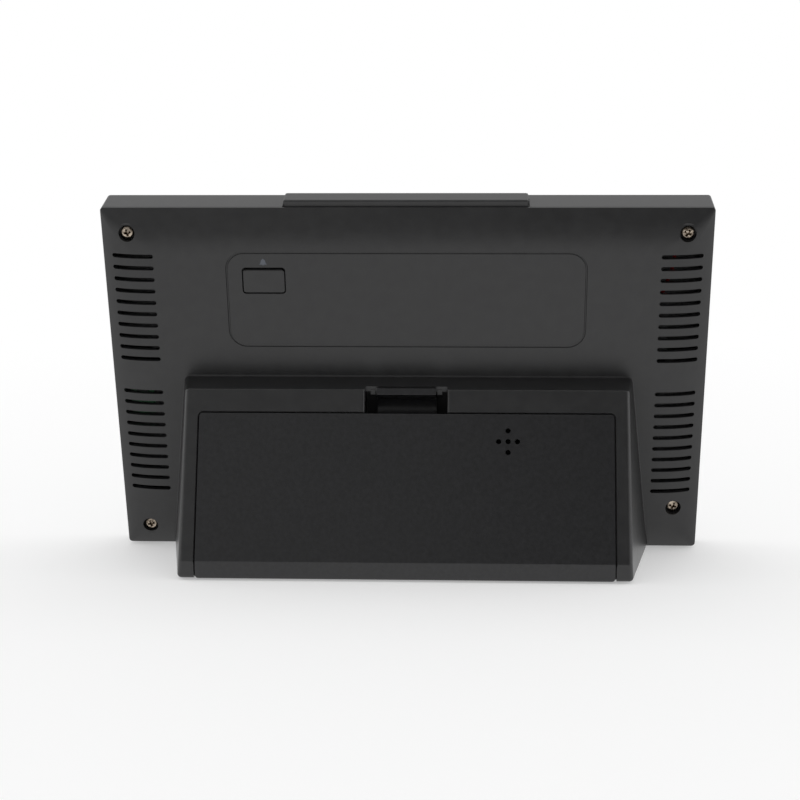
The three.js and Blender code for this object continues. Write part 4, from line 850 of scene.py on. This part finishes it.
band = 55.4
door_side = [
    Vector((0, door_top)),
    Vector((-1.8, door_top)),
    to_slope(band - 1.8, 5.6),
    to_slope(band - 1.8, -0.1),
    to_slope(band, -0.1),
    Vector((0, 0)),
]
door_side = rounded(door_side, [0.35, 0.2, 0.2, 0.2, 0.7, 1.4], 5)
door = bar("battery_door_cover", door_side, -door_half, door_half)
combine(door, from_level(level_window(0, -0.1, level_top + 0.2)), "INTERSECT")
bevelled(door, 0.36, 3, 50)
clean(door)
for x in (-48, 0, 48):
    add(door, from_level(block("tool", (x - 6, band - 5.6, 2.3), (x + 6, band - 0.9, 3.9))))
strip, depth, throat = 1.3, 8, 7
latch_half = 10.9
add(door, block("tool", (-latch_half, -depth, door_top - strip), (latch_half, -0.9, door_top - 0.05)))
bend = []
for radius, steps in ((throat / 2 + strip, range(17)), (throat / 2, range(16, -1, -1))):
    for k in steps:
        turn = math.pi + math.pi * k / 16
        bend.append((radius * math.sin(turn) - depth, door_top + throat / 2 + radius * math.cos(turn)))
add(door, bar("tool", bend, -latch_half, latch_half))

sound = {
    "Hole radius": 0.95,
    "Pitch across": 3.4,
    "Pitch up": 3.95,
    "Across": -37.1,
    "Up": 44.1,
    "Plastic": door_plastic,
}
tree, size = new_tree("sound_holes", sound)
ring = worked(tree, "four places", "GeometryNodeMeshCircle", {"Vertices": 4, "Radius": 1.0}, fill_type="NONE")
pitch = worked(tree, "pitch", "ShaderNodeCombineXYZ", {
    "X": size["Pitch across"], "Y": size["Pitch up"], "Z": 1.0})
ring = worked(tree, "four holes round the middle", "GeometryNodeTransform", {
    "Geometry": ring["Mesh"], "Scale": pitch[0]})
middle = worked(tree, "the middle hole", "GeometryNodeMeshLine", {"Count": 1})
joined = worked(tree, "five holes", "GeometryNodeJoinGeometry", {
    "Geometry": [ring["Geometry"], middle["Mesh"]]})
drill = worked(tree, "drill", "GeometryNodeMeshCylinder", {
    "Vertices": 28, "Radius": size["Hole radius"], "Depth": 9.0})
place = worked(tree, "over the buzzer", "ShaderNodeCombineXYZ", {"X": size["Across"], "Z": size["Up"]})
drills = worked(tree, "drills", "GeometryNodeInstanceOnPoints", {
    "Points": joined["Geometry"], "Instance": drill["Mesh"]})
drills = worked(tree, "drill bodies", "GeometryNodeRealizeInstances", {"Geometry": drills["Instances"]})
drills = worked(tree, "drills in place", "GeometryNodeTransform", {
    "Geometry": drills["Geometry"], "Translation": place[0], "Rotation": (math.pi / 2, 0, 0)})
opened = worked(tree, "cut the holes", "GeometryNodeMeshBoolean", {
    "Mesh 1": size["Shape"], "Mesh 2": drills["Geometry"]}, operation="DIFFERENCE", solver="MANIFOLD")
ended(tree, opened["Mesh"], size["Plastic"])
grown(door, tree, sound)
fit(door, "battery_door_body", door_plastic, ["battery_door"], slope_place)

# Latch: the springy outer leg of the door's U, with the bar that a fingertip pulls down. It is
# moulded in one with the door from the same black plastic, and flexes in the U's bend.
leg_up = door_top + throat
latch_side = [
    (-depth + 0.3, leg_up),
    (-2.3, leg_up),
    (-0.3, leg_up),
    (-0.3, leg_up + 2.4),
    (-2.3, leg_up + 2.4),
    (-2.3, leg_up + strip),
    (-depth + 0.3, leg_up + strip),
]
latch = bar("door_latch_bar", latch_side, -latch_half, latch_half)
bevelled(latch, 0.2, 3, 50)
fit(latch, "door_latch_body", door_plastic, ["door_latch"], slope_place)

# Feet: four round pads of dull black rubber under the stand. Each is cut from sheet with a
# softened rim, pressed into a shallow recess and glued.
rubber = moulded("foot_rubber", (0.008, 0.008, 0.008), (0.014, 0.014, 0.014), (0.7, 0.85), 1800, 0.00003)
pad = {"Pad radius": 4.5, "Pad height": 1.35, "Face share": 0.9, "Rubber": rubber}
tree, size = new_tree("foot_pads", pad)
cylinder = worked(tree, "pad", "GeometryNodeMeshCylinder", {
    "Vertices": 48, "Radius": size["Pad radius"], "Depth": size["Pad height"]})
face = worked(tree, "pad face", "GeometryNodeInputNormal")
down = worked(tree, "faces down", "ShaderNodeSeparateXYZ", {"Vector": face["Normal"]})
low = worked(tree, "underneath", "FunctionNodeCompare", {
    0: down["Z"], 1: -0.9}, data_type="FLOAT", operation="LESS_THAN")
rim = worked(tree, "raised rim", "GeometryNodeExtrudeMesh", {
    "Mesh": cylinder["Mesh"], "Selection": low[0], "Offset Scale": 0.0}, mode="FACES")
small = worked(tree, "softened edge", "GeometryNodeScaleElements", {
    "Geometry": rim["Mesh"], "Selection": rim["Top"], "Scale": size["Face share"]})
pads = worked(tree, "pads", "GeometryNodeInstanceOnPoints", {
    "Points": size["Shape"], "Instance": small["Geometry"]})
ended(tree, pads["Instances"], size["Rubber"])
feet = new_object("rubber_feet", [(x, y, -0.125) for x, y in foot_places], [])
grown(feet, tree, pad)
foot_names = ["foot_front_left", "foot_front_right", "foot_back_left", "foot_back_right"]
fit(feet, "housing", rubber, foot_names, level_place)

# Window: a clear acrylic sheet set into the face, printed black round its edge from behind, so
# that only the display shows. It lies in the stepped rebate of the front housing.
acrylic, tree, surface = new_material("clear_acrylic")
feed(surface, {
    "Base Color": (0.93, 0.95, 0.96, 1),
    "Transmission Weight": 1,
    "IOR": 1.49,
    "Roughness": ranged(tree, noise(tree, 60), 0.004, 0.012),
})
ink = moulded("printed_black", (0.004, 0.004, 0.005), (0.007, 0.007, 0.008), (0.3, 0.36), 1500, 0.000001)
sheet_edge = ((-14.5, -0.35), (-14.42, -0.12), (-14.3, 0), (-13.35, 0), (-13.3, -0.05))
sheet = tapered("window_sheet", sheet_edge, (93.5, 24.5, 126, 4.15), 0, 10)
fit(sheet, "housing", acrylic, ["window_lens"])
border = slab("window_border", box_outline(93.4, 24.6, 125.9, 4, 0, 10), -13.15, -13.05)
cut(border, slab("tool", box_outline(89.5, 28.5, 122, 1.5, 0, 8), -14, -13))
fit(border, "housing", ink, ["window_lens"])

# Display: a liquid crystal cell of two thin sheets of glass under a dark polariser. Its lit
# digits and signs are pale on black: the time, a sun behind a cloud, and three readings.
cell_glass, tree, surface = new_material("display_glass")
haze = noise(tree, 25)
feed(surface, {
    "Base Color": blended(tree, haze, (0.004, 0.006, 0.008), (0.008, 0.011, 0.014)),
    "Roughness": ranged(tree, haze, 0.08, 0.16),
})
glass = block("display_cell", (-94, -12.05, 22), (94, -11, 127))
add(glass, block("tool", (-93.2, -11.2, 24.5), (93.2, -9.9, 126.2)))
fit(glass, "housing", cell_glass, ["display_glass"])

lit, tree, surface = new_material("lit_segments")
glow = blended(tree, noise(tree, 90), (0.62, 0.74, 0.78), (0.72, 0.84, 0.88))
feed(surface, {"Base Color": glow, "Emission Color": glow, "Emission Strength": 0.35, "Roughness": 0.4})
marks = bmesh.new()
marks_out = -12.07
digit_bars = {
    "0": "abcdef", "1": "bc", "2": "abged", "3": "abgcd", "4": "fgbc", "5": "afgcd", "8": "abcdefg"}


def mark(points):
    """A flat lit shape on the display's face; across grows to the reader's right."""
    marks.faces.new([marks.verts.new((across, marks_out, up)) for across, up in points])


def digit(text, left, low, tall, wide, thick):
    """One figure of seven bars with pointed ends, slanted to the right."""
    slant = 0.09
    half = thick / 2
    lines = {
        "a": ((0, tall), (wide, tall)),
        "b": ((wide, tall / 2), (wide, tall)),
        "c": ((wide, 0), (wide, tall / 2)),
        "d": ((0, 0), (wide, 0)),
        "e": ((0, 0), (0, tall / 2)),
        "f": ((0, tall / 2), (0, tall)),
        "g": ((0, tall / 2), (wide, tall / 2)),
    }
    for key in digit_bars[text]:
        start, end = (Vector(point) for point in lines[key])
        along = (end - start).normalized()
        across = Vector((-along.y, along.x)) * half
        start, end = start + along * thick * 0.12, end - along * thick * 0.12
        shape = [
            start, start + along * half - across, end - along * half - across,
            end, end - along * half + across, start + along * half + across,
        ]
        mark([(left + p.x + p.y * slant, low + p.y) for p in shape])


def disc(across, up, radius, count=40):
    mark(circle(radius, count, across, up))


def line(x0, z0, x1, z1, thick=0.35):
    along = (Vector((x1, z1)) - Vector((x0, z0))).normalized()
    off = Vector((-along.y, along.x)) * thick / 2
    mark([
        (x0 + off.x, z0 + off.y), (x0 - off.x, z0 - off.y),
        (x1 - off.x, z1 - off.y), (x1 + off.x, z1 + off.y),
    ])


def number(text, left, low, tall, thick):
    """Writes a number from its left end and tells where it ends."""
    wide = tall * 0.46
    for letter in text:
        if letter == ".":
            disc(left - wide * 0.12, low, thick * 0.62, count=16)
            left += wide * 0.3
        elif letter == ":":
            for share in (0.3, 0.7):
                disc(left + tall * 0.09 * share, low + tall * share, thick * 0.62, count=16)
            left += wide * 0.55
        else:
            digit(letter, left, low, tall, wide, thick)
            left += wide * 1.62
    return left


number("10:08", -82, 78, 34, 4.6)
end = number("22.5", -82, 38, 20, 2.8)
disc(end + 0.5, 59, 1.7, count=20)
end = number("14.3", -20, 38, 20, 2.8)
disc(end + 0.5, 59, 1.7, count=20)
end = number("48", 43, 38, 20, 2.8)
disc(end + 2.5, 56, 2, count=20)
disc(end + 9, 41, 2, count=20)
line(end + 2, 39, end + 10, 58, 1.2)
line(-84, 68, 84, 68)
line(-29, 33, -29, 65)
line(34, 33, 34, 65)
line(29, 72, 29, 119)
sun_across, sun_up = 66, 104
disc(sun_across, sun_up, 8)
# The cloud hides two of the sun's twelve rays
for i in (0, 1, 2, 3, 4, 5, 6, 9, 10, 11):
    way = (math.cos(math.pi * i / 6), math.sin(math.pi * i / 6))
    near, far = ((sun_across + reach * way[0], sun_up + reach * way[1]) for reach in (10, 13.5))
    line(*near, *far, 1.3)
# The cloud is one outline: a round end, the highest of its three puffs, and the other round end
left, right, low, end = 42, 61, 86, 6.5
puffs = ((left, low, end), (51, 90, 9), (right, low, end))
turns = [math.pi * k / 24 for k in range(13)]
cloud = [(left - end * math.sin(turn), low - end * math.cos(turn)) for turn in turns[:-1]]
for k in range(65):
    across = left - end + (right - left + 2 * end) * k / 64
    tops = [up + math.sqrt(max(r * r - (across - x) ** 2, 0)) for x, up, r in puffs if abs(across - x) <= r]
    cloud.append((across, max(tops)))
cloud += [(right + end * math.cos(turn), low - end * math.sin(turn)) for turn in turns[1:]]
mark(list(reversed(cloud)))
shown = new_object("display_marks", [], [])
marks.to_mesh(shown.data)
marks.free()
step = shown.modifiers.new("body", "SOLIDIFY")
step.thickness = 0.03
step.offset = 0
settled(shown)
fit(shown, "housing", lit, ["display_glass"])

# Light guide and its strip of diodes: a milky acrylic plate that lights the display evenly,
# fed from one end. The holder behind them is a black moulded frame screwed to the posts.


def dress(node, material):
    """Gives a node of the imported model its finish, in the slots that it has."""
    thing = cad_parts[node]
    if not thing.material_slots:
        thing.data.materials.append(material)
    for place in thing.material_slots:
        place.material = material


dress("light_guide", moulded("milky_acrylic", (0.72, 0.76, 0.8), (0.82, 0.86, 0.9), (0.2, 0.3), 700, 0.00002))
dress("led_strip", moulded("diode_strip", (0.75, 0.72, 0.5), (0.86, 0.84, 0.66), (0.3, 0.4), 900, 0.00002))
# The holder is a black moulding, but its colour is lifted to a dark grey as painted light, so that the inside
# seen through the vents reads lighter.
holder_plastic_painted_lighter = moulded(
    "holder_plastic_painted_lighter", (0.04, 0.04, 0.042), (0.05, 0.05, 0.052), (0.45, 0.6), 1800, 0.00002)
dress("display_holder", holder_plastic_painted_lighter)

# Connector strip: soft rubber with fine conducting layers, squeezed between the display and
# the main board. It carries the segments' signals and needs no solder.
zebra, tree, surface = new_material("layered_rubber")
place = worked(tree, "place", "ShaderNodeTexCoord")
layers = worked(tree, "layers", "ShaderNodeTexWave", {
    "Vector": place["Object"], "Scale": 900, "Distortion": 0})
feed(surface, {
    "Base Color": blended(tree, layers["Fac"], (0.02, 0.02, 0.02), (0.5, 0.17, 0.15), (0.45, 0.55)),
    "Roughness": 0.75,
})
dress("connector_strip", zebra)

# Circuit boards: green solder resist over copper tracks, with black moulded parts soldered on.
# Screws hold the main board and the key board. The room sensor and the radio are made alike.


def board_finish(name, parts_from):
    """Solder resist with tracks under it, and black parts from a depth in the leaning panel on."""
    material, tree, surface = new_material(name)
    place = worked(tree, "place", "ShaderNodeTexCoord")
    upright = worked(tree, "panel's own frame", "ShaderNodeMapping", {
        "Vector": place["Object"],
        "Location": (0, -panel_foot_depth * math.cos(lean), 0),
        "Rotation": (lean, 0, 0),
    })
    flat = worked(tree, "seen from behind", "ShaderNodeMapping", {
        "Vector": upright["Vector"], "Rotation": (math.pi / 2, 0, 0)})
    tracks = worked(tree, "tracks", "ShaderNodeTexBrick", {
        "Vector": flat["Vector"],
        "Scale": 60,
        "Mortar Size": 0.02,
        "Brick Width": 0.9,
        "Row Height": 0.14,
        "Color1": (0.010, 0.095, 0.030, 1),
        "Color2": (0.014, 0.120, 0.040, 1),
        "Mortar": (0.030, 0.190, 0.070, 1),
    })
    depth = worked(tree, "depth", "ShaderNodeSeparateXYZ", {"Vector": upright["Vector"]})
    raised = worked(tree, "raised parts", "ShaderNodeMath", {
        0: depth["Y"], 1: parts_from * mm}, operation="GREATER_THAN")
    both = worked(tree, "board and parts", "ShaderNodeMix", {
        "Factor": raised[0], "A": tracks["Color"], "B": (0.012, 0.012, 0.013, 1)}, data_type="RGBA")
    feed(surface, {"Base Color": both["Result"], "Roughness": ranged(tree, noise(tree, 300), 0.25, 0.4)})
    return material


dress("main_board", board_finish("main_board_resist", -3.3))
dress("key_board", board_finish("key_board_resist", 5))
dress("sensor_board", board_finish("sensor_board_resist", -3.9))
dress("radio_module", board_finish("radio_board_resist", -2.05))

# Front keys: four flat grey-black moulded keys below the window, each with a softened face and
# a flange behind it that keeps it in the housing and presses a dome on the key board.
key_edge = ((-15.4, -0.75), (-15.36, -0.4), (-15.22, -0.13), (-15, 0), (-12.6, 0), (-12.1, 0))
for i, x in enumerate(key_places, 1):
    key = tapered("front_key_cap_%d" % i, key_edge, (7, key_up - 3, key_up + 3, 1), x)
    add(key, block("tool", (x - 8, -12.1, key_up - 4), (x + 8, -11.1, key_up + 4)))
    fit(key, "front_key_%d_body" % i, snooze_plastic, ["front_key_%d" % i])
switch_black = moulded("switch_black", (0.01, 0.01, 0.01), (0.016, 0.016, 0.016), (0.35, 0.5), 1500, 0.00002)
dress("snooze_switch", switch_black)
dress("alarm_switch", switch_black)

# Battery bay: a black moulded tray inside the stand, with two troughs for two cells each. Nickel
# plated contacts clip into its ends, with a coiled spring at the flat end of each row.
tray_plastic = moulded(
    "tray_plastic", (0.015, 0.015, 0.0155), (0.021, 0.021, 0.0215), (0.45, 0.6), 2000, 0.00002, 400)
dress("battery_tray", tray_plastic)
spring_metal = moulded("spring_nickel", (0.5, 0.5, 0.52), (0.68, 0.68, 0.7), (0.2, 0.32), 900, 0.000004)
feed(spring_metal.node_tree.nodes["Principled BSDF"], {"Metallic": 1})
row_half, cell_out = 53.75, -10.4
plate_gap, plate_face = 0.3, 0.8
row_ups = (12.4, 27.6)

# A conical spring of round wire along +X, from the plate to the cell
springs = {
    "Turns": 4.0,
    "Wide end": 3.3,
    "Narrow end": 2.1,
    "Length": 3.6,
    "Wire": 0.28,
    "Metal": spring_metal,
}
spring_tree, size = new_tree("contact_spring", springs)
coil = worked(spring_tree, "coil", "GeometryNodeCurveSpiral", {
    "Resolution": 26, "Rotations": size["Turns"], "Start Radius": size["Wide end"],
    "End Radius": size["Narrow end"], "Height": size["Length"]})
wire = worked(spring_tree, "wire", "GeometryNodeCurvePrimitiveCircle", {
    "Resolution": 10, "Radius": size["Wire"]})
coil = worked(spring_tree, "round wire", "GeometryNodeCurveToMesh", {
    "Curve": coil["Curve"], "Profile Curve": wire["Curve"], "Fill Caps": True})
coils = worked(spring_tree, "springs", "GeometryNodeInstanceOnPoints", {
    "Points": size["Shape"], "Instance": coil["Mesh"], "Rotation": (0, math.pi / 2, 0)})
ended(spring_tree, coils["Instances"], size["Metal"])


def contact(name, side, sprung, flat, nodes):
    """A contact plate on an end wall of the tray, with springs in some rows and flat dimples in others."""
    wall = side * (row_half - plate_gap)
    face = side * (row_half - plate_face)
    ends = sorted((wall, face))
    rows = [row_ups[row] for row in sprung + flat]
    plate = block(name, (ends[0], cell_out - 5, min(rows) - 5), (ends[1], cell_out + 5, max(rows) + 5))
    for up in (row_ups[row] for row in flat):
        rings = []
        for along, radius in ((-0.2, 2.4), (0.05, 2.3), (0.35, 1.9), (0.55, 1.3), (0.6, 0.6)):
            rings.append([(face - side * along, y, z) for y, z in circle(radius, 32, cell_out, up)])
        add(plate, loft("tool", rings))
    bevelled(plate, 0.12, 2, 60)
    if sprung:
        coils = new_object("coils", [(face, cell_out, row_ups[row]) for row in sprung], [])
        grown(coils, spring_tree, springs)
        if side > 0:
            mirror = Matrix.Scale(-1, 4, (1, 0, 0))
            coils.data.transform(Matrix.Translation((2 * face, 0, 0)) @ mirror)
            coils.data.flip_normals()
        work = bmesh.new()
        work.from_mesh(plate.data)
        work.from_mesh(coils.data)
        work.to_mesh(plate.data)
        work.free()
        bpy.data.objects.remove(coils)
    fit(plate, "housing", spring_metal, nodes, slope_place)


contact("contact_plate_positive", -1, [], [0], ["contact_positive"])
contact("contact_plate_negative", -1, [1], [], ["contact_negative"])
contact("contact_plate_bridge", 1, [0], [1], ["contact_bridge"])

# Cells: four AA cells, steel cans in plain printed sleeves, dark blue with a copper-coloured
# band at the positive end. They lie loose in the tray, two in a row, one row turned round.
sleeve, tree, surface = new_material("cell_sleeve")
place = worked(tree, "place along the cell", "ShaderNodeUVMap", uv_map="along")
where = worked(tree, "how far along", "ShaderNodeSeparateXYZ", {"Vector": place["UV"]})
bands = [
    (0, (0.55, 0.55, 0.57)),
    (0.012, (0.012, 0.05, 0.17)),
    (0.72, (0.42, 0.19, 0.07)),
    (0.975, (0.6, 0.6, 0.62)),
]
feed(surface, {
    "Base Color": coloured(tree, where["X"], bands, "CONSTANT"),
    "Roughness": ranged(tree, noise(tree, 400), 0.22, 0.34),
    "Metallic": 0.6,
})
radius, length, nub = 7.1, 50.5, 2.7
cell_side = [
    (0, 0), (5.6, 0), (5.9, 0.25), (6.3, 0.25), (6.5, 0), (6.95, 0.25), (radius, 0.7),
    (radius, length - 1.9), (6.95, length - 1.45), (6.5, length - 1.25), (nub + 0.5, length - 1.2),
    (nub, length - 1.2), (nub, length - 0.2), (nub - 0.25, length), (0, length),
]
one = lathe("battery_cells", cell_side, 56)
one.data.transform(Matrix.Rotation(-math.pi / 2, 4, "Z"))
uv = one.data.uv_layers.new(name="along")
for loop in one.data.loops:
    uv.data[loop.index].uv = (one.data.vertices[loop.vertex_index].co.x / length, 0.5)
work = bmesh.new()
for row, up in enumerate(row_ups):
    # The row starts past its contact's flat dimple, or past the spring
    flipped = row == 0
    start = plate_face + 0.1 - row_half + (0.6 if flipped else 4)
    for i in range(2):
        mesh = one.data.copy()
        place = Matrix.Translation((start + i * 50.6 + (length if flipped else 0), cell_out, up))
        mesh.transform(place @ Matrix.Rotation(math.pi if flipped else 0, 4, "Z"))
        work.from_mesh(mesh)
        bpy.data.meshes.remove(mesh)
work.to_mesh(one.data)
work.free()
fit(one, "housing", sleeve, ["cell_1", "cell_2", "cell_3", "cell_4"], slope_place)

# Wires and buzzer: the battery's red and black wires run up behind the vents to the main
# board, and a pair of short ones go to the round buzzer behind the door's five holes.
red = moulded("red_insulation", (0.22, 0.006, 0.005), (0.3, 0.01, 0.008), (0.35, 0.45), 900, 0.00001)
black = moulded("black_insulation", (0.007, 0.007, 0.007), (0.012, 0.012, 0.012), (0.35, 0.45), 900, 0.00001)
for use in ("battery", "buzzer"):
    dress(use + "_wire_red", red)
    dress(use + "_wire_black", black)
dress("buzzer", switch_black)
